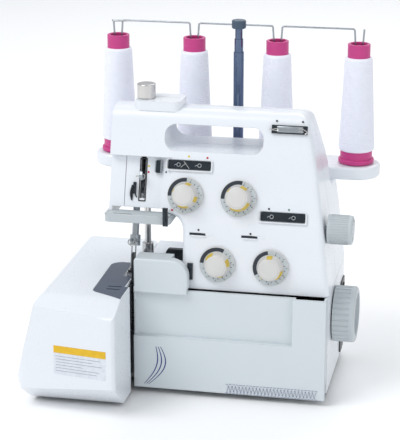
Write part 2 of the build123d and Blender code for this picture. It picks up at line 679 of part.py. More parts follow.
def needles():
    pair = Part()
    for dx in NEEDLES_DX:
        pair += bar_rod(NEEDLE_D, NEEDLE_TIP, CLAMP[0] + 8, dx)
    return pair


def presser_bar():
    bar = rod_z(BAR_D, PRESSER_X, PRESSER_Y, PRESSER_Z)
    return bar + rod_z(COLLAR_D, PRESSER_X, PRESSER_Y, COLLAR_Z)


def presser_foot():
    """Sole with turned up toes, a needle opening and a collar on the presser bar."""
    low = BED_Z + FOOT_GAP
    sole = block(SOLE_X, SOLE_Y, (low, low + FOOT_T))
    sole = fillet(sole.edges().filter_by(Axis.Z), 3)
    y = needle_line(low)
    x = [NEEDLE_BAR[0] + dx for dx in NEEDLES_DX]
    sole -= block((x[0] - 2, x[1] + 2), (y - 5, y + 7), (low - 1, low + FOOT_T + 1))
    rib_y = (PRESSER_Y - 8, PRESSER_Y + 6)
    rib = block((PRESSER_X - 3, PRESSER_X + 3), rib_y, (low + FOOT_T, PRESSER_Z[0] + 2))
    collar = rod_z(BAR_D + 5, PRESSER_X, PRESSER_Y, (PRESSER_Z[0] - 5, PRESSER_Z[0] + 9))
    return sole + rib + collar - rod_z(BAR_D, PRESSER_X, PRESSER_Y, (PRESSER_Z[0], PRESSER_Z[0] + 10))


def presser_spring():
    height = SPRING_TOP - COLLAR_Z[1] - SPRING_WIRE
    path = Helix(SPRING_PITCH, height, SPRING_R)
    section = Plane(origin=path @ 0, z_dir=path % 0) * Circle(SPRING_WIRE / 2)
    coil = sweep(section, path)
    return Pos(PRESSER_X, PRESSER_Y, COLLAR_Z[1] + SPRING_WIRE / 2) * coil


def presser_lifter():
    """Lever behind the presser bar; it hangs below the arm."""
    x, y, z = LIFTER
    low = z - LIFTER_R
    half = LIFTER_T / 2
    lever = rod_x(14, (x - half, x + half), y, z)
    lever += block((x - half, x + half), (y - 4, y + 4), (low, z))
    lever += block((x - half - 3, x + half + 3), (y - 4, y + 10), (low, low + 5))
    return lever + rod_x(LIFTER_PIN_D, (x - LIFTER_PIN_HALF, x + LIFTER_PIN_HALF), y, z)


def take_up_lever():
    y, z = TAKE_UP_PIVOT
    tip = y - TAKE_UP_R
    x = (TAKE_UP_X - TAKE_UP_T / 2, TAKE_UP_X + TAKE_UP_T / 2)
    points = [(y, z - 3), (y, z + 3), (tip + 5, z + 2), (tip, z + 7), (tip - 2, z + 4), (tip, z - 2)]
    lever = side_prism(points, x) + rod_x(8, x, y, z) + rod_x(TAKE_UP_PIN_D, take_up_pin_x(), y, z)
    return lever - rod_x(2.2, (x[0] - 1, x[1] + 1), tip + 2.4, z + 2)


def pressure_dial():
    knob = rod_z(KNOB_D, PRESSER_X, PRESSER_Y, KNOB_Z)
    knob = fillet(knob.faces().sort_by(Axis.Z)[-1].edges(), 1)
    return knob + rod_z(KNOB_STEM_D, PRESSER_X, PRESSER_Y, (SPRING_TOP + FREE, KNOB_Z[0]))


# ---- loopers, knives, feed ---------------------------------------------------------------
def looper(pivot, y, points):
    """A looper: a flat arm through the points, a hub and its pin in the frame."""
    x, z = pivot
    body = front_prism(points, y) + rod_y(13, x, y, z)
    return body + rod_y(LOOPER_PIN_D, x, (y[0], LOOPER_PIN_BACK), z)


def lower_looper():
    x, z = LOWER_LOOPER
    points = [(x + 4, z), (x - 4, z), (x - 20, z + 40), (x - 26, z + 47), (x - 6, z + 53), (x - 10, z + 44)]
    return looper(LOWER_LOOPER, (24, 28), points)


def upper_looper():
    x, z = UPPER_LOOPER
    points = [(x, z - 5), (x - 25, z + 4), (x - 32, z + 15), (x - 29, z + 17), (x - 21, z + 10), (x, z + 5)]
    return looper(UPPER_LOOPER, (14, 18), points)


def upper_knife():
    holder = block(KNIFE_X, KNIFE_Y, (KNIFE_Z[0], BED_Z + 4))
    stem = block(KNIFE_X, (KNIFE_Y[0] + 2, KNIFE_Y[1] - 2), (BED_Z + 4, KNIFE_Z[1]))
    return holder + stem


def feed_dog(y):
    """A toothed bar that rises through the needle plate."""
    top = BED_Z + 0.3
    bar = block(FEED_X, y, (BED_Z - 12, top))
    count = int((y[1] - y[0]) / 2)
    for n in range(count):
        notch = Pos((FEED_X[0] + FEED_X[1]) / 2, y[0] + 1 + 2 * n, top) * Rot(45, 0, 0)
        bar -= notch * Box(FEED_X[1] - FEED_X[0] + 1, 0.8, 0.8)
    middle = (FEED_X[0] + FEED_X[1]) / 2
    return bar - block((middle - 2, middle + 2), (y[0] - 1, y[1] + 1), (BED_Z - 4, BED_Z + 1))


def feed_dog_main():
    return feed_dog(FEED_MAIN_Y)


def feed_dog_diff():
    return feed_dog(FEED_DIFF_Y)


# ---- controls on the front and right -----------------------------------------------------
def tension_posts():
    """Four threaded posts through the panel, each with its pair of tension discs inside."""
    posts = Part()
    for x, z in DIAL_PLACES:
        discs = Pos(0, 0, -WALL - 2) * Cylinder(8, 3)
        posts += on_panel(x, z) * (Pos(0, 0, -1) * Cylinder(DIAL_POST_D / 2, 18) + discs)
    return posts


def tension_dial(place):
    """A skirt with a tapered ribbed cap, blind bored for its post."""
    skirt = Pos(0, 0, DIAL_GAP + DIAL_SKIRT_T / 2) * Cylinder(DIAL_SKIRT_D / 2, DIAL_SKIRT_T)
    cap_h = DIAL_H - DIAL_SKIRT_T
    cap = Pos(0, 0, DIAL_GAP + DIAL_SKIRT_T + cap_h / 2) * Cone(DIAL_CAP_D / 2, DIAL_TOP_D / 2, cap_h)
    cap = fillet(cap.faces().sort_by(Axis.Z)[-1].edges(), 1.5)
    bore = Pos(0, 0, 4) * Cylinder(DIAL_POST_D / 2 + RUN_FIT, 8.4)
    return on_panel(*place) * (skirt + cap - bore)



def length_dial():
    y, z, d = LENGTH_DIAL
    knob = rod_x(d, LENGTH_DIAL_X, y, z)
    knob = fillet(knob.faces().sort_by(Axis.X)[-1].edges(), 2.5)
    return knob + rod_x(DIAL_POST_D, (side_x(z) - 16, LENGTH_DIAL_X[0]), y, z)


def inlet_y(grow=0.0):
    middle = sum(SOCKET_Y) / 2
    return (middle - INLET[0] / 2 - grow, middle + INLET[0] / 2 + grow)


def inlet_z(grow=0.0):
    return (INLET[2] - INLET[1] / 2 - grow, INLET[2] + INLET[1] / 2 + grow)


def switch_y(grow=0.0):
    middle = sum(SOCKET_Y) / 2
    return (middle - SWITCH[0] / 2 - grow, middle + SWITCH[0] / 2 + grow)


def switch_z(grow=0.0):
    return (SWITCH[2] - SWITCH[1] / 2 - grow, SWITCH[2] + SWITCH[1] / 2 + grow)


def socket_panel():
    """Black plate with the power inlet and the hole for the switch."""
    plate = block((0, SOCKET_PROUD), SOCKET_Y, SOCKET_Z)
    plate = fillet(plate.edges().filter_by(Axis.X), 3)
    plate += block((-INLET[3], 0), inlet_y(), inlet_z())
    plate -= block((2 - INLET[3], SOCKET_PROUD + 1), inlet_y(-1.5), inlet_z(-1.5))
    y = sum(SOCKET_Y) / 2
    for dy in (-5, 0, 5):
        plate += rod_x(2.4, (2 - INLET[3], -2), y + dy, INLET[2])
    return plate - block((-1, SOCKET_PROUD + 1), switch_y(SEAM), switch_z(SEAM))


def power_switch():
    """Rocker: a shallow V seen from the side, tipping about its middle."""
    low, high = switch_z()
    points = [(-6, low + 2), (2.4, low), (1.6, SWITCH[2]), (2.4, high), (-6, high - 2)]
    return front_prism(points, switch_y())


def plate_guide(x, z, width):
    """A steel plate held off the panel by its two bent ends, with two thread holes."""
    face = Pos(0, 0, GUIDE_STAND - GUIDE_T / 2) * Box(width, GUIDE_H, GUIDE_T)
    for side in (-1, 1):
        face += Pos(side * (width - GUIDE_T) / 2, 0, GUIDE_STAND / 2) * Box(GUIDE_T, GUIDE_H, GUIDE_STAND)
        face -= Pos(side * width / 4, 0, GUIDE_STAND) * Cylinder(1.2, 2 * GUIDE_STAND)
    return on_panel(x, z) * face


def thread_guide_plates():
    plates = Part()
    for x, z, width in GUIDE_PLATES:
        plates += plate_guide(x, z, width)
    return plates


def thread_guides():
    """Small wire and plate guides on the head and above the looper cover."""
    high = Pos(0, 0, 2 - RECESS_DEPTH / hypot(1, panel_slope(TOP_Z))) * Box(4, 13, 4)
    hook = Pos(0, 0, 1 - RECESS_DEPTH / hypot(1, panel_slope(TOP_Z))) * Box(3, 12, 2)
    guides = on_panel(-180, 234) * high + on_panel(-204, 212) * hook
    front = panel_y(ARM_Z) - 6
    guides += block((-170, -165), (front - 3, front), (SKIRT_Z - 1, ARM_Z + 10))
    return guides + on_panel(-142, 131.6) * Pos(0, 0, 1.1) * Box(5.5, 17, 2.2)


# ---- looper cover ------------------------------------------------------------------------
def hump(inset):
    """The cloth guard that stands up at the left end of the looper cover."""
    i = inset
    right = HUMP_X[1] - i
    bottom = HUMP_BOTTOM - (i and 2 * WALL)
    points = [(HUMP_X[0] + i, bottom), (right, bottom), (right, HUMP_TOP - i), (HUMP_X[0] + i, HUMP_TOP - i)]
    solid = front_prism(points, (i, HUMP_BACK + (i and 1)), {2: 18 - i, 3: 3.5 - i})
    if not i:
        edges = solid.faces().sort_by(Axis.Y)[0].edges().filter_by(lambda e: e.center().Z > bottom + 5)
        solid = fillet(edges, 2)
    back = (HUMP_FRONT_BACK, HUMP_BACK + 2)
    return solid - block((HUMP_DEEP_X - i, right + 1), back, (bottom - 1, HUMP_TOP + 1))


def looper_cover():
    """Front cover: it slides right, then tips forward on its hinge bar."""
    left = COVER_LEFT
    right = -SEAM
    top = SEAM_Z - SEAM
    step = COVER_STEP
    cover = block((left, right), (0, WALL), (COVER_BOTTOM, COVER_STEP_Z))
    cover += block((-COVER_PILLAR, right), (0, WALL), (COVER_BOTTOM, top))
    cover += block((left, -COVER_PILLAR), (step, step + WALL), (COVER_STEP_Z - WALL, top))
    cover += block((left, -COVER_PILLAR), (0, step + WALL), (COVER_STEP_Z - WALL, COVER_STEP_Z))
    cover += block((-COVER_PILLAR - WALL, -COVER_PILLAR), (0, step + WALL), (COVER_STEP_Z - WALL, top))
    for x in ((left, left + WALL), (right - WALL, right)):
        cover += block(x, (WALL, PANEL_Y[0] - SEAM), (HINGE_Z + KNUCKLE_D, top))
    cover += block((HUMP_X[0], HUMP_X[1] - 1), (0, step + WALL), (HUMP_BOTTOM - 2 * WALL, HUMP_BOTTOM))
    cover += hump(0) - hump(WALL)
    for x in KNUCKLES_X:
        cover += rod_x(KNUCKLE_D, x, HINGE_Y, HINGE_Z)
        cover += block(x, (WALL - 1, HINGE_Y), (HINGE_Z - KNUCKLE_D / 2, HINGE_Z + KNUCKLE_D / 2))
        cover -= rod_x(HINGE_D + 2 * RUN_FIT, (x[0] - 1, x[1] + 1), HINGE_Y, HINGE_Z)
    return cover


def cover_hinge_bar():
    return rod_x(HINGE_D, (LUGS_X[0][0] - 4, LUGS_X[-1][1] + 4), HINGE_Y, HINGE_Z)


# ---- cloth plate -------------------------------------------------------------------------
def cloth_block(inset):
    i = inset
    low = CLOTH_BOTTOM_Z - (1 if i else 0)
    top = BED_Z - i
    faces = [(CLOTH_RIGHT + 20, low), (CLOTH_LEFT + 9 + i, low), (CLOTH_LEFT + i, CLOTH_FLARE_Z),
             (CLOTH_TOP_LEFT + i, top), (CLOTH_RIGHT + 20, top)]
    solid = front_prism(faces, (CLOTH_FRONT, CLOTH_BACK), {3: 7 - i})
    side = [(-40 + i, low), (CLOTH_FRONT + i, CLOTH_FLARE_Z), (CLOTH_FRONT + i, CLOTH_RIDGE_Z - i / 2),
            (-45, top), (CLOTH_BACK - i, top), (CLOTH_BACK - i, low)]
    solid &= side_prism(side, (CLOTH_LEFT, CLOTH_RIGHT + 20), {2: 5 - i, 3: 40})
    radius = CLOTH_EDGE - CLOTH_PIVOT[0]
    back = CLOTH_BACK - i
    right = CLOTH_EDGE if not i else CLOTH_EDGE + 15
    plan = [(CLOTH_RIGHT - i, CLOTH_FRONT - 1 + i), (CLOTH_LEFT - 2 + i, CLOTH_FRONT + 15 + i),
            (CLOTH_LEFT + i, 100), (CLOTH_LEFT + 18 + i, back), (right, back),
            (right, CLOTH_WALL_BACK), (CLOTH_RIGHT - i, CLOTH_WALL_BACK)]
    rounds = {0: 5 - i, 1: 12 - i, 3: 14 - i}
    if not i:
        rounds[4] = radius
    return solid & top_prism(plan, (low, BED_Z + 1), rounds)


def insert_outline():
    """The dark plate let into the cloth plate round the needle plate."""
    edge = CLOTH_EDGE - 1
    front_edge = CLOTH_RIGHT - 1
    notch = PLATE_LEFT - FREE
    return [(notch, 66), (-236, 66), (-234.5, -27), (front_edge, -44), (front_edge, CLOTH_WALL_BACK),
            (edge, CLOTH_WALL_BACK), (edge, PLATE_Y[0] - FREE), (notch, PLATE_Y[0] - FREE)]


def cloth_plate():
    """The swinging left cover: a shell with its top, front, left and rear walls and a pivot tube."""
    shell = cloth_block(0) - cloth_block(WALL)
    notch = PLATE_LEFT - SEAM
    back = PLATE_Y[1] + WALL + CLOTH_NOTCH_GAP
    shell -= block((notch, CLOTH_RIGHT + 1), (PLATE_Y[0] - SEAM, back), (BED_Z - 20, BED_Z + 1))
    shell -= top_prism(insert_outline(), (BED_Z - INSERT_DEPTH, BED_Z + 1), INSERT_ROUNDS)
    corner = CLOTH_EDGE - CLOTH_PIVOT[0] + 1
    shell -= rod_z(2 * corner, *CLOTH_PIVOT, (0, PLATE_Z[1] + FREE))
    bore = rod_z(PIVOT_D + 2 * RUN_FIT, *CLOTH_PIVOT, (0, BED_Z - 8))
    tube = rod_z(2 * PIVOT_D, *CLOTH_PIVOT, (PLATE_Z[1] + 10, BED_Z - 1))
    return shell + tube - bore


def cloth_plate_insert():
    plate = top_prism(insert_outline(), (BED_Z - INSERT_DEPTH, BED_Z), INSERT_ROUNDS)
    for y in (-18, -10):
        plate -= block((-222, -208), (y - 1.2, y + 1.2), (BED_Z - 0.6, BED_Z + 1))
    return plate


# ---- spool stand, cones and pole ---------------------------------------------------------
def spool_stand():
    """Tray with four pins, bolted to the ledge on the back."""
    tray = stadium(TRAY_X, TRAY_Y, (TRAY_TOP - TRAY_T, TRAY_TOP))
    rims = tray.faces().sort_by(Axis.Z)
    tray = fillet(rims[0].edges() + rims[-1].edges(), 3)
    tray += block((COLUMN_LEFT + 20, COLUMN_LEFT + 110), (WAIST[0], TRAY_Y[0] + 6),
                  (TRAY_TOP - TRAY_T, TRAY_TOP - 3))
    for x in CONES_X:
        tray += rod_z(SPOOL_PIN_D, x, CONE_Y, (TRAY_TOP, SPOOL_PIN_TOP))
    return tray - rod_z(POLE_D[0], POLE_X, CONE_Y, (POLE_BOTTOMS[0], TRAY_TOP + 1))


def cone_core(x):
    """The moulded core: flange, skirt, barrel and top ring, hollow with a floor on its pin."""
    low = TRAY_TOP + SEAM
    flange = low + CONE_FLANGE[1]
    core = rod_z(CONE_FLANGE[0], x, CONE_Y, (low, flange))
    core = fillet(core.edges().filter_by(GeomType.CIRCLE), 1.5)
    core += rod_z(CONE_SKIRT_D, x, CONE_Y, (flange, CONE_Z[0]))
    core += rod_z(CONE_CORE_D, x, CONE_Y, (CONE_Z[0], CONE_Z[1]))
    core += rod_z(CONE_TOP_D, x, CONE_Y, (CONE_Z[1], CONE_Z[2]))
    core -= rod_z(CONE_BORE_D, x, CONE_Y, (flange, CONE_Z[2] + 1))
    return core - rod_z(SPOOL_PIN_D + 2 * RUN_FIT, x, CONE_Y, (low - 1, flange + 1))


def cone_thread(x):
    height = CONE_Z[1] - CONE_Z[0]
    wound = Pos(x, CONE_Y, sum(CONE_Z[:2]) / 2) * Cone(THREAD_D[0] / 2, THREAD_D[1] / 2, height)
    wound = fillet(wound.edges().filter_by(GeomType.CIRCLE), 2)
    return wound - rod_z(CONE_CORE_D, x, CONE_Y, (CONE_Z[0] - 1, CONE_Z[1] + 1))


def pole_stage(number):
    """One tube of the telescopic pole, 0 being the lowest and widest."""
    d = POLE_D[number]
    low = POLE_BOTTOMS[number]
    top = POLE_TOPS[number]
    tube = rod_z(d, POLE_X, CONE_Y, (low, top))
    if number == len(POLE_D) - 1:
        return tube
    return tube - rod_z(POLE_D[number + 1] + 2 * RUN_FIT, POLE_X, CONE_Y, (low + WALL, top + 1))


def wire_points():
    """The guide wire from its free left end to its right end, dipping into every cone."""
    wide, narrow = (w / 2 for w in DIP_W)
    first = CONES_X[0]
    points = [(first + 14, CONE_Y - 5, WIRE_Z + 1), (first - wide, CONE_Y - 5, WIRE_Z)]
    for x in CONES_X:
        points += [(x - wide, CONE_Y, WIRE_Z), (x - narrow, CONE_Y, DIP_Z), (x + narrow, CONE_Y, DIP_Z),
                   (x + wide, CONE_Y, WIRE_Z)]
    return points


def thread_guide_wire():
    path = FilletPolyline(*wire_points(), radius=2.2)
    section = Plane(origin=path @ 0, z_dir=path % 0) * Circle(WIRE_D / 2)
    return sweep(section, path)


def pole_cap():
    cap = rod_z(CAP_W, POLE_X, CONE_Y, CAP_Z)
    cap = fillet(cap.edges().filter_by(GeomType.CIRCLE), 1.5)
    return cap - rod_x(WIRE_D, (POLE_X - CAP_W, POLE_X + CAP_W), CONE_Y, WIRE_Z)


# ---- all the pieces ----------------------------------------------------------------------
def all_pieces():
    """Every node's name and its solid or group of solids."""
    pieces = {
        "base_plate": base_plate(),
        "rubber_feet": rubber_feet(),
        "frame_casting": frame_casting(),
        "front_shell": front_shell(),
        "rear_shell": rear_shell(),
        "face_cover": face_cover(),
        "base_housing": base_housing(),
        "bed_housing": bed_housing(),
        "needle_plate": needle_plate(),
        "knife_guard": knife_guard(),
        "lower_knife": lower_knife(),
        "shaft_bushes": shaft_bushes(),
        "motor_body": motor_body(),
        "drive_belt": drive_belt(),
        "housing_screws": housing_screws(),
        "socket_panel": socket_panel(),
        "tension_posts": tension_posts(),
        "thread_guide_plates": thread_guide_plates(),
        "thread_guides": thread_guides(),
        "spool_stand": spool_stand(),
        "pole_lower": pole_stage(0),
        "presser_spring": presser_spring(),
        "main_shaft": main_shaft(),
        "handwheel": handwheel(),
        "driven_pulley": driven_pulley(),
        "motor_pulley": motor_pulley(),
        "needle_bar": needle_bar(),
        "needles": needles(),
        "take_up_lever": take_up_lever(),
        "upper_looper": upper_looper(),
        "lower_looper": lower_looper(),
        "upper_knife": upper_knife(),
        "feed_dog_main": feed_dog_main(),
        "feed_dog_diff": feed_dog_diff(),
        "presser_bar": presser_bar(),
        "presser_foot": presser_foot(),
        "presser_lifter": presser_lifter(),
        "pressure_dial": pressure_dial(),
        "stitch_length_dial": length_dial(),
        "power_switch": power_switch(),
        "cover_hinge_bar": cover_hinge_bar(),
        "looper_cover": looper_cover(),
        "cloth_plate": cloth_plate(),
        "cloth_plate_insert": cloth_plate_insert(),
        "pole_middle": pole_stage(1),
        "pole_upper": pole_stage(2),
        "pole_cap": pole_cap(),
        "thread_guide_wire": thread_guide_wire(),
    }
    for number, place in enumerate(DIAL_PLACES, 1):
        pieces[f"tension_dial_{number}"] = tension_dial(place)
    for number, x in enumerate(CONES_X, 1):
        pieces[f"cone_core_{number}"] = cone_core(x)
        pieces[f"cone_thread_{number}"] = cone_thread(x)
    return pieces


def main():
    os.makedirs("parts", exist_ok=True)
    for name, piece in all_pieces().items():
        export_step(Pos(-X_MID, -Y_MID, 0) * piece, f"parts/{name}.step")
        print(name, round(piece.volume))


if __name__ == "__main__":
    main()
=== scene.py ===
"""Serger overlock machine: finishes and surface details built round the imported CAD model."""
import json
import math

import bmesh
import bpy
from bpy.props import FloatProperty, FloatVectorProperty, IntProperty, PointerProperty
from mathutils import Euler, Matrix, Vector

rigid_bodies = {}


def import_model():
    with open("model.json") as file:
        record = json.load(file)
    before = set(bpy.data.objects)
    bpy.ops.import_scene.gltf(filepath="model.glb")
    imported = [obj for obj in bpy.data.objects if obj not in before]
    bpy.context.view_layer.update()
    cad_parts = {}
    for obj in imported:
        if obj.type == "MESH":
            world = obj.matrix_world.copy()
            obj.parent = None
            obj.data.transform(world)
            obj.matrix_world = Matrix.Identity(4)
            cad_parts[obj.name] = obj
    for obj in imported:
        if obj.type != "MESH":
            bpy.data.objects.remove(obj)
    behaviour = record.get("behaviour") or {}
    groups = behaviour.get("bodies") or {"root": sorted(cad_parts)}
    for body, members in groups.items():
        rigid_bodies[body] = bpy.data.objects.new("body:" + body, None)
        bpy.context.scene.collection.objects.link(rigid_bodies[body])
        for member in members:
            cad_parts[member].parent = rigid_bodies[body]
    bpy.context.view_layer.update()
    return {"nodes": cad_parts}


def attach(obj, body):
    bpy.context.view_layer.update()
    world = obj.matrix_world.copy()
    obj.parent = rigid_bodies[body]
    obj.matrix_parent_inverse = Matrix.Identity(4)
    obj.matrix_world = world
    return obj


bl_info = {
    "name": "Serger Overlock Machine",
    "version": (1, 0, 0),
    "blender": (4, 5, 0),
    "location": "3D View > Sidebar > Serger",
    "description": "Finishes and details for a serger overlock machine",
    "category": "Object",
}

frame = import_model()

# ---- places, in millimetres from the front right bottom corner of the base ---------------
MM = 0.001
X_MID = -135.5
Y_MID = 47.5
SEAM_Z = 113.5
CREASE_Z = 178.0
TOP_Z = 290.0
PANEL_Y = (12.0, 18.0, 51.0)
RECESS_DEPTH = 8.0
RECESS_RIGHT = -165.0
RECESS_FACET = 12.0
DIALS = ((-149.3, 207.5), (-94.7, 207.5), (-113.8, 140.8), (-59.4, 140.8))
DIAL_SKIRT_TOP = 3.6
DIAL_ARCS = ((86, 184), (78, 184), (66, 176), (100, 208))       # degrees, one for each dial
DIAL_PADS = (((60, 84), (-30, -4), (-116, -70), (150, 166)),
             ((46, 76), (-64, -20), (-124, -70), (132, 150)),
             ((108, 150), (0, 34), (-80, -60)),
             ((78, 104), (-54, -6), (-140, -124)))
PLATES = ((-47.0, 275.9, 36.0), (-147.0, 237.0, 43.0), (-49.0, 191.9, 44.0))
SLITS = ((-128.0, 170.4), (-74.8, 170.6))
CONES_X = (-247.0, -164.5, -76.0, 9.4)
CONE_Y = 145.0
THREAD_Z = (233.0, 332.0)
THREAD_D = (37.0, 28.4)
BED_Z = 118.0
BAR_LEAN = math.radians(15)
CLAMP_ALONG = 8.5        # from the needle bar's reference point down to its clamp screws
FRONT_SWEEP = -8.45     # degrees the left cover's front is swept back
CAMERA = (0.3285, -1.6304, 0.7003)
CAMERA_ANGLES = (17.5, 11.5)
LENS = 139.09


def place(x, y, z):
    """Metres in the machine's frame from millimetres off the base's front right corner."""
    return Vector(((x - X_MID) * MM, (y - Y_MID) * MM, z * MM))


def panel_slope(z):
    if z < CREASE_Z:
        return (PANEL_Y[1] - PANEL_Y[0]) / (CREASE_Z - SEAM_Z)
    return (PANEL_Y[2] - PANEL_Y[1]) / (TOP_Z - CREASE_Z)


def on_panel(x, z, out=0.0):
    """Matrix whose XY plane lies on the leaning front panel, with +Z pointing out of it."""
    slope = panel_slope(z)
    length = math.hypot(1, slope)
    across = Vector((1, 0, 0))
    up = Vector((0, slope, 1)) / length
    away = Vector((0, -1, slope)) / length
    origin = place(x, PANEL_Y[1] + (z - CREASE_Z) * slope, z) + away * out * MM
    turn = Matrix((across, up, away)).transposed().to_4x4()
    return Matrix.Translation(origin) @ turn


def flat_on(x, y, z, facing):
    """Matrix at a point with its +Z facing front, right, back, left or up."""
    turns = {"front": (90, 0, 0), "right": (90, 0, 90), "back": (90, 0, 180),
             "left": (90, 0, -90), "up": (0, 0, 0)}
    turn = Euler([math.radians(a) for a in turns[facing]]).to_matrix().to_4x4()
    return Matrix.Translation(place(x, y, z)) @ turn


# ---- settings a user may change -----------------------------------------------------------
def rgb(code):
    """Linear red, green and blue from an sRGB hex colour."""
    parts = [int(code[n:n + 2], 16) / 255 for n in (1, 3, 5)]
    return [c / 12.92 if c <= 0.04045 else ((c + 0.055) / 1.055) ** 2.4 for c in parts]


def colour_property(name, description, code):
    return FloatVectorProperty(name=name, description=description, subtype="COLOR", size=3,
                               min=0, max=1, default=rgb(code))


class SergerColours(bpy.types.PropertyGroup):
    body: colour_property("Body", "Moulded casing", "#E9EDF2")
    # The looper cover's default is greyer than the body's: painted shade of its upright face.
    cover: colour_property("Looper cover", "Moulded cover below the dials", "#D3DBDF")
    # The grey default also colours the head's skirt, where it is painted shade.
    grey: colour_property("Grey parts", "Skirt, stitch length dial and handwheel", "#BFC7CA")
    thread: colour_property("Thread", "Thread on the cones", "#F3F5FF")
    core: colour_property("Cone core", "Moulded cone cores", "#CC3F88")
    plate: colour_property("Bed plate", "Enamelled plate round the needle plate", "#3A4559")


class SergerSizes(bpy.types.PropertyGroup):
    dial_ticks: IntProperty(name="Dial ticks", description="Scale marks on each tension dial",
                            default=13, min=4, max=40)
    thread_turns: IntProperty(name="Thread turns", description="Turns in each layer of thread",
                              default=44, min=10, max=90)
    strand: FloatProperty(name="Strand", description="Thickness of a drawn strand of thread",
                          default=0.0009, unit="LENGTH")
    dot: FloatProperty(name="Colour dot", description="Width of a threading colour dot",
                       default=0.0021, unit="LENGTH")
    stitches: IntProperty(name="Stitches", description="Stitches in the printed motif",
                          default=26, min=4, max=80)


# ---- nodes --------------------------------------------------------------------------------
def add(tree, kind, inputs=None, **settings):
    """One node, with its settings, and each named input linked or set."""
    made = tree.nodes.new(kind)
    for key, value in settings.items():
        setattr(made, key, value)
    for key, value in (inputs or {}).items():
        if isinstance(value, bpy.types.NodeSocket):
            tree.links.new(value, made.inputs[key])
        else:
            made.inputs[key].default_value = value
    return made


FINISHES = {}


def chosen(label, dull=0.94):
    """The user's colour for a material, and a slightly duller tone of it to drift towards."""
    colour = list(getattr(bpy.context.scene.serger_colours, label))
    return colour, [c * dull for c in colour]


def finish(name, colours, rough, grain_mm, depth_mm=0.02, mottle_mm=40.0, stretch=(1, 1, 1),
           edge_mm=0.0, **sockets):
    """A material: colour drifts between two tones, roughness varies, and a fine grain raises
    bumps. A moulded edge radius, where given, softens the light along the edges."""
    if name in FINISHES:
        return FINISHES[name]
    made = bpy.data.materials.new(name)
    made.use_nodes = True
    tree = made.node_tree
    shader = next(n for n in tree.nodes if n.type == "BSDF_PRINCIPLED")
    where = add(tree, "ShaderNodeTexCoord").outputs["Object"]
    along = add(tree, "ShaderNodeMapping", {"Vector": where, "Scale": stretch}).outputs["Vector"]
    drift = add(tree, "ShaderNodeTexNoise",
                {"Vector": where, "Scale": 1 / (mottle_mm * MM), "Detail": 3.0, "Roughness": 0.55})
    first, second = (rgb(tone) if isinstance(tone, str) else tone for tone in colours)
    blend = add(tree, "ShaderNodeMix", {0: drift.outputs["Fac"], 6: (*first, 1),
                                        7: (*second, 1)}, data_type="RGBA")
    tree.links.new(blend.outputs[2], shader.inputs["Base Color"])
    grain = add(tree, "ShaderNodeTexNoise",
                {"Vector": along, "Scale": 1 / (grain_mm * MM), "Detail": 4.0, "Roughness": 0.6})
    wear = add(tree, "ShaderNodeMapRange", {"Value": grain.outputs["Fac"], "From Min": 0.3,
                                            "From Max": 0.7, "To Min": rough[0], "To Max": rough[1]})
    tree.links.new(wear.outputs["Result"], shader.inputs["Roughness"])
    bump = add(tree, "ShaderNodeBump", {"Height": grain.outputs["Fac"], "Strength": 0.5,
                                        "Distance": depth_mm * MM})
    if edge_mm:
        soft = add(tree, "ShaderNodeBevel", {"Radius": edge_mm * MM}, samples=4)
        tree.links.new(soft.outputs["Normal"], bump.inputs["Normal"])
    tree.links.new(bump.outputs["Normal"], shader.inputs["Normal"])
    for label, value in sockets.items():
        shader.inputs[label.replace("_", " ")].default_value = value
    made.diffuse_color = (*first, 1)
    FINISHES[name] = made
    return made


def white_abs():
    """Injection moulded ABS, polished tool: a faint cool drift and a soft skin of orange peel."""
    return finish("glossy_white_abs", chosen("body"), (0.26, 0.36), 2.4, 0.012, 90.0,
                  edge_mm=0.9, IOR=1.54, Coat_Weight=0.15, Coat_Roughness=0.12)


def cover_abs():
    """The looper cover's ABS, a little greyer than the casing: the grey is painted shade of its
    upright face, which gets less of the light from above.
    """
    return finish("cover_abs", chosen("cover"), (0.32, 0.44), 2.4, 0.012, 90.0, edge_mm=1.6,
                  IOR=1.54, Coat_Weight=0.12, Coat_Roughness=0.2)


def grey_abs():
    """Light grey ABS with a fine spark-eroded texture, as dials and handwheels have; on the head's
    skirt the same grey is painted shade.
    """
    return finish("light_grey_abs", chosen("grey"), (0.36, 0.5), 0.9, 0.03, 30.0, edge_mm=0.8,
                  IOR=1.54)


def dial_abs():
    """Warm white ABS of the tension dials, satin and slightly aged."""
    return finish("dial_white_abs", ("#DAD8D5", "#CBCAC8"), (0.3, 0.42), 1.2, 0.02, 14.0,
                  edge_mm=0.5, IOR=1.54)


def charcoal():
    """Dark grey moulded nylon, dull with a fine grain."""
    return finish("charcoal_nylon", ("#33393F", "#262B30"), (0.45, 0.62), 0.8, 0.04, 12.0,
                  edge_mm=0.6, IOR=1.53)


def black_plastic():
    """Black ABS: deep colour with a soft sheen."""
    return finish("black_abs", ("#15171A", "#1F2226"), (0.32, 0.46), 0.8, 0.03, 12.0, IOR=1.54)


def black_enamel():
    """Baked black enamel on steel, glossy with faint ripples."""
    return finish("black_enamel", ("#121417", "#1C2024"), (0.2, 0.34), 3.0, 0.02, 15.0, IOR=1.5)


def slate_enamel():
    """Slate blue stove enamel on pressed steel, satin, with a faint cloudiness."""
    return finish("slate_enamel", chosen("plate", 1.25), (0.34, 0.46), 1.6, 0.02, 24.0, IOR=1.5,
                  Coat_Weight=0.2)


def satin_steel():
    """Brushed stainless steel: long fine scratches along X."""
    return finish("satin_steel", ("#B9BEC2", "#9EA5AA"), (0.22, 0.38), 0.5, 0.02, 9.0,
                  (0.06, 1, 1), Metallic=1.0)


def dark_steel():
    """Blued spring steel, dark with a brushed surface."""
    return finish("blued_steel", ("#474E54", "#30363B"), (0.28, 0.42), 0.5, 0.02, 9.0,
                  (0.08, 1, 1), Metallic=1.0)


def chrome():
    """Bright chrome plate: nearly a mirror, with faint polishing marks."""
    return finish("bright_chrome", ("#D9D6D2", "#C4C4C4"), (0.06, 0.14), 0.8, 0.004, 20.0,
                  (1, 1, 0.1), Metallic=1.0)


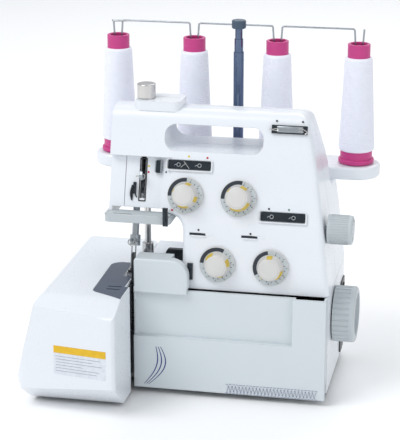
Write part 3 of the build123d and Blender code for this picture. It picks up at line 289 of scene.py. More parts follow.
def pole_chrome():
    """Chromed tube with a painted reflection of a cool sky: darker and bluer than the bright parts.
    """
    return finish("pole_chrome", ("#6D7C97", "#4E5A72"), (0.12, 0.2), 0.8, 0.004, 20.0,
                  (1, 1, 0.1), Metallic=1.0)


def cap_plastic():
    """Slate blue moulded plastic of the pole's cap."""
    return finish("slate_plastic", ("#45596C", "#3A4C5E"), (0.36, 0.5), 0.9, 0.02, 9.0,
                  edge_mm=0.5, IOR=1.54)


def pink_plastic():
    """Pink polypropylene of the cone cores: waxy, a little light bleeds through it."""
    return finish("pink_polypropylene", chosen("core", 0.84), (0.34, 0.46), 1.0, 0.02, 14.0,
                  IOR=1.49, Subsurface_Weight=0.12, Subsurface_Scale=0.002)


def wound_thread():
    """Spun polyester thread: soft fibres that catch light along their edges."""
    return finish("spun_polyester_thread", chosen("thread", 0.92), (0.62, 0.8), 0.35, 0.06, 5.0,
                  IOR=1.5, Sheen_Weight=0.5, Sheen_Roughness=0.5)


def rubber():
    """Black nitrile rubber, matt and faintly dusty."""
    return finish("black_rubber", ("#1C1D1E", "#2A2B2C"), (0.7, 0.85), 0.6, 0.05, 8.0, IOR=1.52)


def cast_metal():
    """Sand cast aluminium: grey with a coarse cast skin."""
    return finish("cast_aluminium", ("#8B9094", "#74797E"), (0.45, 0.6), 1.4, 0.12, 16.0,
                  Metallic=0.9)


def bronze():
    """Sintered bronze, warm and slightly oily."""
    return finish("sintered_bronze", ("#9C6B35", "#7F5629"), (0.34, 0.5), 0.6, 0.03, 8.0,
                  Metallic=1.0)


def pressed_steel():
    """Grey painted steel floor plate, satin."""
    return finish("painted_steel", ("#A9AEB2", "#9BA1A5"), (0.4, 0.55), 1.2, 0.03, 30.0, IOR=1.5)


def ink(name, code):
    """Screen printed ink: flat, slightly uneven coverage, a soft sheen."""
    tone = rgb(code)
    return finish(name, (tone, [c * 0.72 for c in tone]), (0.4, 0.55), 0.5, 0.004, 4.0, IOR=1.5)


CAD_FINISHES = (
    (white_abs, ("front_shell", "rear_shell", "face_cover", "cloth_plate", "spool_stand",
                 "bed_housing", "base_housing")),
    (cover_abs, ("looper_cover",)),
    (grey_abs, ("handwheel", "stitch_length_dial")),
    (dial_abs, tuple(f"tension_dial_{n}" for n in (1, 2, 3, 4))),
    (charcoal, ("knife_guard",)),
    (black_plastic, ("socket_panel", "power_switch")),
    (black_enamel, ("upper_knife", "motor_body")),
    (slate_enamel, ("cloth_plate_insert",)),
    (satin_steel, ("needle_plate", "lower_knife", "main_shaft", "needle_bar", "needles",
                   "take_up_lever", "upper_looper", "lower_looper", "feed_dog_main",
                   "feed_dog_diff", "cover_hinge_bar", "tension_posts", "presser_spring",
                   "housing_screws", "thread_guide_wire")),
    (dark_steel, ("thread_guide_plates", "thread_guides")),
    (chrome, ("presser_bar", "presser_foot", "presser_lifter", "pressure_dial")),
    (pole_chrome, ("pole_lower", "pole_middle", "pole_upper")),
    (cap_plastic, ("pole_cap",)),
    (pink_plastic, tuple(f"cone_core_{n}" for n in (1, 2, 3, 4))),
    (wound_thread, tuple(f"cone_thread_{n}" for n in (1, 2, 3, 4))),
    (rubber, ("rubber_feet", "drive_belt")),
    (cast_metal, ("frame_casting", "driven_pulley", "motor_pulley")),
    (bronze, ("shaft_bushes",)),
    (pressed_steel, ("base_plate",)),
)


# ---- meshes -------------------------------------------------------------------------------
def piece(name, mesh, material, body, matrix=None, smooth=30):
    """A finished piece in place, riding on its body."""
    if matrix is not None:
        mesh.transform(matrix)
    mesh.name = name
    if material is not None:
        mesh.materials.clear()
        mesh.materials.append(material)
    mesh.shade_smooth()
    mesh.set_sharp_from_angle(angle=math.radians(smooth))
    made = bpy.data.objects.new(name, mesh)
    bpy.context.scene.collection.objects.link(made)
    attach(made, body)
    return made


def to_mesh(bm):
    bmesh.ops.recalc_face_normals(bm, faces=bm.faces)
    mesh = bpy.data.meshes.new("part")
    bm.to_mesh(mesh)
    bm.free()
    return mesh


def joined(meshes):
    """Several meshes as one, keeping their materials."""
    total = bmesh.new()
    slots = []
    for mesh in meshes:
        start = len(total.faces)
        total.from_mesh(mesh)
        total.faces.ensure_lookup_table()
        for face in total.faces[start:]:
            used = mesh.materials[face.material_index] if mesh.materials else None
            if used not in slots:
                slots.append(used)
            face.material_index = slots.index(used)
    mesh = bpy.data.meshes.new("part")
    total.to_mesh(mesh)
    total.free()
    for used in slots:
        if used is not None:
            mesh.materials.append(used)
    return mesh


def slab(points, low, high, edge=0.0, steps=2):
    """A flat shape through XY points, in millimetres, with its upper edge rounded."""
    bm = bmesh.new()
    under = [bm.verts.new((x * MM, y * MM, low * MM)) for x, y in points]
    over = [bm.verts.new((x * MM, y * MM, high * MM)) for x, y in points]
    top = bm.faces.new(over)
    bm.faces.new(list(reversed(under)))
    for n in range(len(points)):
        m = (n + 1) % len(points)
        bm.faces.new((under[n], under[m], over[m], over[n]))
    if edge:
        bmesh.ops.bevel(bm, geom=list(top.edges), offset=edge * MM, segments=steps,
                        affect="EDGES", profile=0.5)
    return to_mesh(bm)


def rounded(w, h, r, x=0.0, y=0.0, steps=5):
    """Points of a rounded rectangle, anticlockwise."""
    points = []
    for cx, cy, start in ((w / 2 - r, h / 2 - r, 0), (r - w / 2, h / 2 - r, 90),
                          (r - w / 2, r - h / 2, 180), (w / 2 - r, r - h / 2, 270)):
        for n in range(steps + 1):
            a = math.radians(start + 90 * n / steps)
            points.append((x + cx + r * math.cos(a), y + cy + r * math.sin(a)))
    return points


def frame_ring(outer, inner, low, high, edge=0.3):
    """A flat ring between two outlines that have the same number of points."""
    bm = bmesh.new()
    rings = []
    for points, z in ((outer, low), (outer, high), (inner, high), (inner, low)):
        rings.append([bm.verts.new((x * MM, y * MM, z * MM)) for x, y in points])
    count = len(outer)
    for a, b in ((0, 1), (1, 2), (2, 3), (3, 0)):
        for n in range(count):
            m = (n + 1) % count
            bm.faces.new((rings[a][n], rings[a][m], rings[b][m], rings[b][n]))
    bmesh.ops.recalc_face_normals(bm, faces=bm.faces)
    if edge:
        bm.edges.ensure_lookup_table()
        high_edges = [e for e in bm.edges
                      if all(abs(v.co.z - high * MM) < 1e-7 for v in e.verts)
                      and len({v in rings[1] for v in e.verts}) == 1]
        bmesh.ops.bevel(bm, geom=high_edges, offset=edge * MM, segments=2, affect="EDGES")
    return to_mesh(bm)


def sector(r0, z0, r1, z1, start, end, thick=0.12, steps=24):
    """A ring sector, flat or conical, with a little thickness."""
    bm = bmesh.new()
    rows = []
    run = Vector((r1 - r0, z1 - z0)).normalized()
    out = Vector((-run.y, run.x)) * thick
    if out.y < 0:
        out = -out
    corners = ((r0, z0), (r1, z1), (r1 + out.x, z1 + out.y), (r0 + out.x, z0 + out.y))
    for n in range(steps + 1):
        a = math.radians(start + (end - start) * n / steps)
        rows.append([bm.verts.new((r * math.cos(a) * MM, r * math.sin(a) * MM, z * MM))
                     for r, z in corners])
    for first, second in zip(rows, rows[1:]):
        for n in range(4):
            m = (n + 1) % 4
            bm.faces.new((first[n], first[m], second[m], second[n]))
    bm.faces.new(rows[0])
    bm.faces.new(list(reversed(rows[-1])))
    return to_mesh(bm)


def turned(profile, steps=40):
    """A solid of revolution about Z through (radius, height) points, closed at both ends."""
    bm = bmesh.new()
    rings = []
    for r, z in profile:
        if r == 0:
            rings.append([bm.verts.new((0, 0, z * MM))])
            continue
        rings.append([bm.verts.new((r * math.cos(2 * math.pi * n / steps) * MM,
                                    r * math.sin(2 * math.pi * n / steps) * MM, z * MM))
                      for n in range(steps)])
    for low, high in zip(rings, rings[1:]):
        for n in range(steps):
            m = (n + 1) % steps
            if len(low) == 1:
                bm.faces.new((low[0], high[m], high[n]))
            elif len(high) == 1:
                bm.faces.new((low[n], low[m], high[0]))
            else:
                bm.faces.new((low[n], low[m], high[m], high[n]))
    return to_mesh(bm)


def wire(points, radius, closed=False, order=3):
    """A round wire along a smooth path through control points, in millimetres."""
    curve = bpy.data.curves.new("wire", "CURVE")
    curve.dimensions = "3D"
    curve.bevel_depth = radius * MM
    curve.bevel_resolution = 3
    curve.use_fill_caps = True
    spline = curve.splines.new("NURBS")
    spline.points.add(len(points) - 1)
    for point, at in zip(spline.points, points):
        point.co = (*[c * MM for c in at], 1)
    spline.use_cyclic_u = closed
    spline.order_u = order
    spline.use_endpoint_u = not closed
    spline.resolution_u = 8
    carrier = bpy.data.objects.new("wire", curve)
    bpy.context.scene.collection.objects.link(carrier)
    mesh = bpy.data.meshes.new_from_object(
        carrier.evaluated_get(bpy.context.evaluated_depsgraph_get()))
    bpy.data.objects.remove(carrier)
    bm = bmesh.new()
    bm.from_mesh(mesh)
    bmesh.ops.remove_doubles(bm, verts=bm.verts, dist=1e-7)
    return to_mesh(bm)


def numeral(text, size, thick):
    """A generic number as a thin flat mesh, centred."""
    curve = bpy.data.curves.new("numeral", "FONT")
    curve.body = text
    curve.size = size * MM
    curve.extrude = thick * MM / 2
    curve.align_x = "CENTER"
    curve.align_y = "CENTER"
    carrier = bpy.data.objects.new("numeral", curve)
    bpy.context.scene.collection.objects.link(carrier)
    mesh = bpy.data.meshes.new_from_object(
        carrier.evaluated_get(bpy.context.evaluated_depsgraph_get()))
    bpy.data.objects.remove(carrier)
    return mesh


def moved(mesh, matrix):
    mesh.transform(matrix)
    return mesh


# ---- geometry node trees ------------------------------------------------------------------
def geometry_tree(name, sockets):
    """An empty tree with named inputs; returns the tree and its group input's outputs."""
    tree = bpy.data.node_groups.new(name, "GeometryNodeTree")
    tree.interface.new_socket("Geometry", in_out="INPUT", socket_type="NodeSocketGeometry")
    for label, kind in sockets:
        tree.interface.new_socket(label, in_out="INPUT", socket_type="NodeSocket" + kind)
    tree.interface.new_socket("Geometry", in_out="OUTPUT", socket_type="NodeSocketGeometry")
    return tree, tree.nodes.new("NodeGroupInput").outputs


def close_tree(tree, geometry, material):
    real = add(tree, "GeometryNodeRealizeInstances", {"Geometry": geometry})
    painted = add(tree, "GeometryNodeSetMaterial",
                  {"Geometry": real.outputs[0], "Material": material})
    add(tree, "NodeGroupOutput", {"Geometry": painted.outputs[0]})
    return tree


def grown(tree, values, points=(), edges=()):
    """The plain mesh that a tree makes with these inputs, from base points if it needs them."""
    base = bpy.data.meshes.new("base")
    base.from_pydata([tuple(p) for p in points], list(edges), [])
    carrier = bpy.data.objects.new("grow", base)
    modifier = carrier.modifiers.new("grow", "NODES")
    modifier.node_group = tree
    for item in tree.interface.items_tree:
        if item.in_out == "INPUT" and item.name in values:
            modifier[item.identifier] = values[item.name]
    bpy.context.scene.collection.objects.link(carrier)
    mesh = bpy.data.meshes.new_from_object(
        carrier.evaluated_get(bpy.context.evaluated_depsgraph_get()))
    bpy.data.objects.remove(carrier)
    return mesh


def ring_tree():
    """Small blocks repeated round part of a circle: ticks and grip ribs."""
    tree, given = geometry_tree("blocks_round_a_circle", (
        ("Count", "Int"), ("Radius", "Float"), ("Start", "Float"), ("Sweep", "Float"),
        ("Size", "Vector"), ("Material", "Material")))
    arc = add(tree, "GeometryNodeCurveArc", {"Resolution": given["Count"],
              "Radius": given["Radius"], "Start Angle": given["Start"],
              "Sweep Angle": given["Sweep"]})
    block = add(tree, "GeometryNodeMeshCube", {"Size": given["Size"]})
    at = add(tree, "GeometryNodeInputPosition")
    turn = add(tree, "FunctionNodeAlignRotationToVector", {"Vector": at.outputs[0]}, axis="X")
    placed = add(tree, "GeometryNodeInstanceOnPoints", {"Points": arc.outputs[0],
                 "Instance": block.outputs[0], "Rotation": turn.outputs[0]})
    return close_tree(tree, placed.outputs[0], given["Material"])


def winding_tree():
    """One layer of thread wound round a cone."""
    tree, given = geometry_tree("thread_wound_on_a_cone", (
        ("Turns", "Float"), ("Low Radius", "Float"), ("High Radius", "Float"),
        ("Height", "Float"), ("Strand", "Float"), ("Reverse", "Bool"),
        ("Material", "Material")))
    coil = add(tree, "GeometryNodeCurveSpiral", {"Resolution": 26, "Rotations": given["Turns"],
               "Start Radius": given["Low Radius"], "End Radius": given["High Radius"],
               "Height": given["Height"], "Reverse": given["Reverse"]})
    section = add(tree, "GeometryNodeCurvePrimitiveCircle", {"Resolution": 5,
                  "Radius": given["Strand"]})
    strand = add(tree, "GeometryNodeCurveToMesh", {"Curve": coil.outputs[0],
                 "Profile Curve": section.outputs[0], "Fill Caps": True})
    return close_tree(tree, strand.outputs[0], given["Material"])


def dot_tree():
    """Round dots or pins at points, all turned the same way."""
    tree, given = geometry_tree("dots_at_points", (
        ("Radius", "Float"), ("Depth", "Float"), ("Turn", "Rotation"), ("Material", "Material")))
    dot = add(tree, "GeometryNodeMeshCylinder", {"Vertices": 20, "Radius": given["Radius"],
              "Depth": given["Depth"]})
    placed = add(tree, "GeometryNodeInstanceOnPoints", {"Points": given["Geometry"],
                 "Instance": dot.outputs["Mesh"], "Rotation": given["Turn"]})
    return close_tree(tree, placed.outputs[0], given["Material"])


def screw_tree():
    """Slotted screw heads at points, all turned the same way."""
    tree, given = geometry_tree("slotted_screws", (
        ("Radius", "Float"), ("Height", "Float"), ("Turn", "Rotation"),
        ("Material", "Material"), ("Slot", "Material")))
    head = add(tree, "GeometryNodeMeshCylinder", {"Vertices": 24, "Radius": given["Radius"],
               "Depth": given["Height"]})
    dome = add(tree, "GeometryNodeMeshCone", {"Vertices": 24, "Side Segments": 2,
               "Radius Bottom": given["Radius"]})
    top = add(tree, "ShaderNodeMath", {0: given["Radius"], 1: 0.75}, operation="MULTIPLY")
    rise = add(tree, "ShaderNodeMath", {0: given["Height"], 1: 0.5}, operation="MULTIPLY")
    tree.links.new(top.outputs[0], dome.inputs["Radius Top"])
    tree.links.new(rise.outputs[0], dome.inputs["Depth"])
    lift = add(tree, "ShaderNodeCombineXYZ", {"Z": rise.outputs[0]})
    raised = add(tree, "GeometryNodeTransform", {"Geometry": dome.outputs["Mesh"],
                 "Translation": lift.outputs[0]})
    both = add(tree, "GeometryNodeJoinGeometry")
    tree.links.new(head.outputs["Mesh"], both.inputs[0])
    tree.links.new(raised.outputs[0], both.inputs[0])
    steel = add(tree, "GeometryNodeSetMaterial", {"Geometry": both.outputs[0],
                "Material": given["Material"]})
    length = add(tree, "ShaderNodeMath", {0: given["Radius"], 1: 1.36}, operation="MULTIPLY")
    width = add(tree, "ShaderNodeMath", {0: given["Radius"], 1: 0.26}, operation="MULTIPLY")
    size = add(tree, "ShaderNodeCombineXYZ", {"X": length.outputs[0], "Y": width.outputs[0],
               "Z": rise.outputs[0]})
    cut = add(tree, "GeometryNodeMeshCube", {"Size": size.outputs[0]})
    up = add(tree, "ShaderNodeMath", {0: given["Height"], 1: 0.77}, operation="MULTIPLY")
    over = add(tree, "ShaderNodeCombineXYZ", {"Z": up.outputs[0]})
    slot = add(tree, "GeometryNodeTransform", {"Geometry": cut.outputs["Mesh"],
               "Translation": over.outputs[0]})
    dark = add(tree, "GeometryNodeSetMaterial", {"Geometry": slot.outputs[0],
               "Material": given["Slot"]})
    whole = add(tree, "GeometryNodeJoinGeometry")
    tree.links.new(steel.outputs[0], whole.inputs[0])
    tree.links.new(dark.outputs[0], whole.inputs[0])
    placed = add(tree, "GeometryNodeInstanceOnPoints", {"Points": given["Geometry"],
                 "Instance": whole.outputs[0], "Rotation": given["Turn"]})
    real = add(tree, "GeometryNodeRealizeInstances", {"Geometry": placed.outputs[0]})
    add(tree, "NodeGroupOutput", {"Geometry": real.outputs[0]})
    return tree


def stitch_tree():
    """Short bars repeated along a path: printed stitches."""
    tree, given = geometry_tree("stitches_along_a_path", (
        ("Count", "Int"), ("Size", "Vector"), ("Material", "Material")))
    path = add(tree, "GeometryNodeMeshToCurve", {"Mesh": given["Geometry"]})
    even = add(tree, "GeometryNodeResampleCurve", {"Curve": path.outputs[0],
               "Count": given["Count"]})
    along = add(tree, "GeometryNodeInputTangent")
    turn = add(tree, "FunctionNodeAlignRotationToVector", {"Vector": along.outputs[0]}, axis="X")
    bar = add(tree, "GeometryNodeMeshCube", {"Size": given["Size"]})
    placed = add(tree, "GeometryNodeInstanceOnPoints", {"Points": even.outputs[0],
                 "Instance": bar.outputs[0], "Rotation": turn.outputs[0]})
    return close_tree(tree, placed.outputs[0], given["Material"])


TREES = {}


def tree_for(maker):
    if maker not in TREES:
        TREES[maker] = maker()
    return TREES[maker]


def dots(places, radius, depth, matrix, material):
    """A mesh of dots at XY places on a matrix's plane."""
    turn = matrix.to_euler()
    points = [matrix @ Vector((x * MM, y * MM, depth * MM / 2)) for x, y in places]
    return grown(tree_for(dot_tree), {"Radius": radius * MM, "Depth": depth * MM, "Turn": turn,
                                      "Material": material}, points)


def screws(places, radius, height, matrix, material, slot):
    turn = matrix.to_euler()
    points = [matrix @ Vector((x * MM, y * MM, height * MM / 2)) for x, y in places]
    return grown(tree_for(screw_tree), {"Radius": radius * MM, "Height": height * MM,
                                        "Turn": turn, "Material": material, "Slot": slot},
                 points)


# ---- operators ----------------------------------------------------------------------------
class SERGER_OT_finishes(bpy.types.Operator):
    """Give every CAD piece its finish"""
    bl_idname = "serger.finishes"
    bl_label = "Finishes"

    def execute(self, context):
        for maker, names in CAD_FINISHES:
            for name in names:
                mesh = frame["nodes"][name].data
                mesh.materials.clear()
                mesh.materials.append(maker())
        return {"FINISHED"}


class SERGER_OT_tension_dials(bpy.types.Operator):
    """Scales, numbers, rings and coloured pads of the four tension dials"""
    bl_idname = "serger.tension_dials"
    bl_label = "Tension dials"

    def execute(self, context):
        sizes = context.scene.serger_sizes
        dark = ink("charcoal_ink", "#2F3540")
        yellow = ink("yellow_ink", "#DFC24A")
        for number, (x, z) in enumerate(DIALS, 1):
            body = f"tension_knob_{number}"
            matrix = on_panel(x, z)
            ring = sector(13.7, DIAL_SKIRT_TOP, 17.9, DIAL_SKIRT_TOP, 0, 359.9, 0.04, 72)
            piece(f"dial_ring_{number}", ring, grey_abs(), body, matrix)
            arc = sector(14.0, DIAL_SKIRT_TOP, 17.8, DIAL_SKIRT_TOP, *DIAL_ARCS[number - 1])
            piece(f"dial_arc_{number}", arc, dark, body, matrix)
            ticks = grown(tree_for(ring_tree), {
                "Count": sizes.dial_ticks, "Radius": 14.6 * MM, "Start": math.radians(198),
                "Sweep": math.radians(232), "Size": (1.8 * MM, 0.5 * MM, 0.2 * MM),
                "Material": dark})
            ticks.transform(Matrix.Translation((0, 0, (DIAL_SKIRT_TOP + 0.05) * MM)))
            piece(f"dial_scale_{number}", ticks, None, body, matrix)
            numbers = []
            for n in range(1, 8):
                a = math.radians(70 - 33 * (n - 1))
                at = Vector((16.5 * math.cos(a), 16.5 * math.sin(a), DIAL_SKIRT_TOP + 0.06)) * MM
                turn = Matrix.Rotation(a - math.pi / 2, 4, "Z")
                numbers.append(moved(numeral(str(n), 2.7, 0.12), Matrix.Translation(at) @ turn))
            piece(f"dial_numbers_{number}", joined(numbers), dark, body,
                  matrix)
            pads = [sector(12.9, 5.2, 11.15, 12.9, start, end, 0.4, 6)
                    for start, end in DIAL_PADS[number - 1]]
            piece(f"dial_pads_{number}", joined(pads), yellow, body, matrix)
            disc = turned(((0, 13.4), (8.6, 13.4), (9.6, 13.6), (9.3, 14.0), (8.8, 14.2),
                           (0, 14.25)), 48)
            piece(f"dial_disc_{number}", disc, dial_abs(), body, matrix)
        return {"FINISHED"}


class SERGER_OT_thread_guides(bpy.types.Operator):
    """Bezels, eyelets and hooks of the thread guides on the front panel"""
    bl_idname = "serger.thread_guides"
    bl_label = "Thread guides"

    def execute(self, context):
        white = white_abs()
        steel = satin_steel()
        black = black_plastic()
        for number in (1, 2):
            x, z, width = PLATES[number]
            matrix = on_panel(x, z)
            bezel = frame_ring(rounded(width + 5.5, 13.0, 2.4, 0.4, -0.8),
                               rounded(width + 0.8, 8.9, 0.9), 0.0, 1.7, 0.7)
            piece(f"guide_bezel_{number}", bezel, white, "machine", matrix)
            backing = slab(rounded(width + 0.8, 8.9, 0.9), 0.0, 0.25)
            piece(f"guide_backing_{number}", backing, black, "machine", matrix)
            rings = []
            for side in (-0.25, 0.25):
                ring = wire([((side * width + 1.9 * math.cos(a)), 1.9 * math.sin(a), 2.6)
                             for a in [math.radians(45 * n) for n in range(8)]], 0.45, True)
                rings.append(ring)
                rings.append(wire([(side * width - 4.5, -1.0, 2.6), (side * width - 3.0, 0.6, 2.9),
                                   (side * width - 1.9, 0.0, 2.6)], 0.35))
            piece(f"guide_eyelets_{number}", joined(rings), steel, "machine",
                  matrix)
        x, z = PLATES[1][:2]
        cross = [wire([(-5.5, 3.8, 2.7), (0.5, -3.8, 2.8)], 0.32, order=2),
                 wire([(-8.5, -2.8, 2.7), (-3.0, 2.0, 2.8)], 0.32, order=2)]
        piece("guide_crossing_wires", joined(cross), chrome(), "machine",
              on_panel(x, z))
        matrix = on_panel(*PLATES[0][:2])
        strip = slab(rounded(26.0, 6.2, 0.6, 0.5, 0.2), 2.4, 2.75, 0.1)
        piece("upper_guide_strip", strip, steel, "machine", matrix)
        hooks = [wire([(-20.5, -0.4, 2.6), (-17, -0.3, 2.9), (-13, 0.8, 3.1), (-10, -0.9, 3.0),
                       (-15, -1.6, 2.9), (-18, -0.6, 2.8)], 0.5),
                 wire([(9, 1.4, 3.0), (12.5, 2.2, 3.2), (15, 0.2, 3.2), (17.8, -1.0, 2.9),
                       (17.2, -3.8, 2.6), (15.2, -3.4, 2.6)], 0.5),
                 wire([(9, -1.6, 3.0), (12, -0.8, 3.1), (14.5, -1.8, 3.0)], 0.4)]
        piece("upper_guide_hooks", joined(hooks), chrome(), "machine", matrix)
        lips = []
        for x, z in SLITS:
            matrix = on_panel(x, z)
            lips.append(moved(slab(rounded(16.0, 1.7, 0.8, -6.4, -2.0), 0.0, 1.0, 0.4), matrix))
            lips.append(moved(slab(rounded(8.0, 2.6, 0.2, 4.8), -0.6, 0.05), matrix))
        piece("slit_lips", joined(lips), white, "machine")
        bars = []
        for x, z in SLITS:
            matrix = on_panel(x, z)
            bars.append(moved(slab([(-15.4, -1.1), (1.0, -1.1), (1.0, 0.4), (-4.0, 1.2),
                                    (-15.4, 1.2)], 0.05, 0.35), matrix))
        piece("slit_springs", joined(bars), dark_steel(), "machine")
        return {"FINISHED"}


class SERGER_OT_colour_dots(bpy.types.Operator):
    """Threading colour dots on the panel"""
    bl_idname = "serger.colour_dots"
    bl_label = "Colour dots"

    def execute(self, context):
        radius = context.scene.serger_sizes.dot / MM / 2
        groups = (
            ("yellow", "#E8D24A", ((-171.5, 234), (-148.1, 245.4), (-190.6, 234))),
            ("red", "#C8102E", ((-190.6, 228.2), (-129, 244.9), (-162.5, 192.6))),
            ("black", "#23272C", ((-171.5, 229), (-60.5, 283.9), (-34.3, 284.1), (-63.5, 199.2),
                                  (-134.2, 174.7), (-80.9, 173.9))),
            ("green", "#6F8F86", ((-43.3, 199.4),)),
        )
        facet = math.atan2(RECESS_DEPTH, RECESS_FACET)
        for name, code, places in groups:
            made = []
            for x, z in places:
                deep = min(1.0, max(0.0, (RECESS_RIGHT - x) / RECESS_FACET))
                matrix = on_panel(x, z, -deep * RECESS_DEPTH / math.hypot(1, panel_slope(z)))
                if 0 < deep < 1:
                    matrix = matrix @ Matrix.Rotation(-facet, 4, "Y")
                made.append(dots(((0, 0),), radius, 0.3, matrix, ink(f"{name}_dot_ink", code)))
            piece(f"colour_dots_{name}", joined(made), None, "machine")
        return {"FINISHED"}


class SERGER_OT_head_details(bpy.types.Operator):
    """Take-up slot bezel, guide hooks, thread guides, and the skirt with the painted shadow line
    above it
    """
    bl_idname = "serger.head_details"
    bl_label = "Head details"

    def execute(self, context):
        sunk = -RECESS_DEPTH / math.hypot(1, panel_slope(TOP_Z))
        matrix = on_panel(-196.0, 220.5, sunk)
        bezel = frame_ring(rounded(7.8, 44.6, 0.9), rounded(5.4, 42.0, 0.5), 0.0, 0.35, 0.12)
        piece("take_up_bezel", bezel, black_plastic(), "machine", matrix)
        brushes = [slab(rounded(1.15, 41.6, 0.3, dx), -2.6, -0.8, 0.2) for dx in (-1.98, 1.98)]
        piece("take_up_slot_lining", joined(brushes), black_plastic(), "machine",
              matrix)
        steel = dark_steel()
        hooks = [moved(wire([(-2.2, -8.5, 0.6), (-2.4, -2, 1.6), (-2.0, 3.5, 2.6), (0.2, 5.6, 3.4),
                             (1.6, 3.2, 3.6), (0.4, 0.4, 3.2), (1.2, -3.4, 2.6), (2.6, -7.0, 1.6)],
                            0.7), on_panel(-204.0, 209.5, sunk)),
                 moved(wire([(0.6, 7.5, 0.4), (-0.6, 3.0, 1.6), (-1.0, -3.0, 2.0),
                             (0.6, -8.0, 0.6)], 0.8), on_panel(-207.0, 207.5, sunk))]
        piece("needle_thread_hooks", joined(hooks), steel, "machine")
        bars = [moved(slab(rounded(1.1, 12.0, 0.4, dx), 0.3, 4.2, 0.2), on_panel(-180, 234, sunk))
                for dx in (-2.9, 2.9)]
        piece("recess_guide_bars", joined(bars), satin_steel(), "machine")
        eyes = [moved(wire([(-7, 1.5, 3), (-2.8, 2.4, 3.4), (-1.6, -1.0, 3.2), (1.4, -1.4, 3.2),
                            (2.6, 3.0, 3.4), (0.6, 4.0, 3.4), (-2.2, 1.2, 3.2)], 0.55),
                      on_panel(-196, 222, sunk))]
        piece("take_up_thread_eye", joined(eyes), chrome(), "machine")
        front = PANEL_Y[1] + (187.0 - CREASE_Z) * panel_slope(TOP_Z) - 6
        low, high = 178.7, 187.3
        outer = rounded(68.4, 73.6, 5.2, -197.5, 51.0)
        inner = rounded(60.4, 65.6, 2.0, -197.5, 51.0)
        skirt = frame_ring(outer, inner, low, high, 0.6)
        ledge = slab([(-231.2, 15.0), (-163.8, 15.0), (-163.8, 31.0), (-231.2, 31.0)],
                     186.4, 187.2)
        # The skirt's grey is painted shade of its downward-facing face.
        piece("head_skirt", joined([skirt, ledge]), grey_abs(), "machine",
              Matrix.Translation(place(0, 0, 0)))
        # A thin black strip above the skirt: painted shadow in the gap between the face cover and
        # the skirt.
        gap_shadow = slab([(-222.0, 16.6), (-203.0, 16.6), (-203.0, 17.5), (-222.0, 17.5)],
                    187.2, 187.4)
        piece("skirt_seam", gap_shadow, black_plastic(), "machine",
              Matrix.Translation(place(0, 0, 0)))
        guide = [moved(slab(rounded(4.4, 16.0, 0.8), 0.0, 0.9, 0.3),
                       flat_on(-167.5, front - 3, 188.0, "front")),
                 moved(wire([(-1.5, -7.5, 1.6), (1.8, -4.5, 2.4), (-1.0, -0.5, 2.2), (2.0, 2.5, 2.4),
                             (-0.6, 6.5, 1.4)], 0.6), flat_on(-167.5, front - 3, 188.0, "front"))]
        piece("skirt_thread_guide", joined(guide), dark_steel(), "machine")
        return {"FINISHED"}


class SERGER_OT_needle_area(bpy.types.Operator):
    """Clamp screws, foot details and plate screws round the needles"""
    bl_idname = "serger.needle_area"
    bl_label = "Needle area"

    def execute(self, context):
        steel = satin_steel()
        dark = black_plastic()
        clamp = place(-206.0, 44 - CLAMP_ALONG * math.sin(BAR_LEAN),
                      160 - CLAMP_ALONG * math.cos(BAR_LEAN))
        lean = Matrix.Translation(clamp) @ Euler((-BAR_LEAN, 0, 0)).to_matrix().to_4x4()
        front = lean @ Euler((math.radians(90), 0, 0)).to_matrix().to_4x4()
        face = front @ Matrix.Translation((0, 0, 5.2 * MM))
        pins = [screws(((side, 0),), 1.7, 2.4, face, steel, dark) for side in (-2.6, 2.6)]
        piece("needle_clamp_screws", joined(pins), None, "needle_carrier")
        guide = wire([(-5.4, -5.0, 0), (-6.6, -6.6, -3), (-3.0, -7.4, -6), (1.0, -7.0, -5),
                      (0.5, -5.5, -2)], 0.5)
        piece("needle_bar_thread_guide", guide, chrome(), "needle_carrier", lean)
        foot_screw = screws(((0, 0),), 2.6, 3.0, flat_on(-198.6, 68 - 6.0, 134.5, "front"),
                            steel, dark)
        piece("presser_foot_screw", foot_screw, None, "presser")
        plate_screws = screws(((-174, 72), (-174, 30)), 2.2, 0.7,
                              Matrix.Identity(4), steel, dark)
        plate_screws.transform(Matrix.Translation(place(0, 0, BED_Z)))
        piece("needle_plate_screws", plate_screws, None, "machine")
        toe = []
        low = 118.7 + 2.4
        for dx in (1.1, 8.4):
            toe.append(moved(slab(rounded(3.0, 44.0, 1.2), 0.0, 1.4, 0.5),
                             flat_on(-198.6 + dx, 50.0, low, "up")))
        toe.append(moved(wire([(0, 0, 0), (0, -14, 2.0), (0, -24, 6.0)], 0.9),
                         flat_on(-192.0, 50.0, low + 1.2, "up")))
        piece("presser_foot_ribs", joined(toe), chrome(), "presser")
        inlay = [moved(slab(rounded(5.0, 18.0, 0.6), 0.0, 0.5, 0.1),
                       flat_on(-207.5, 56.0, low, "up")),
                 moved(slab(rounded(5.0, 2.4, 0.6), 0.0, 2.4, 0.4),
                       flat_on(-208.0, 27.5, low, "up"))]
        piece("presser_foot_inlay", joined(inlay), black_enamel(), "presser")
        return {"FINISHED"}


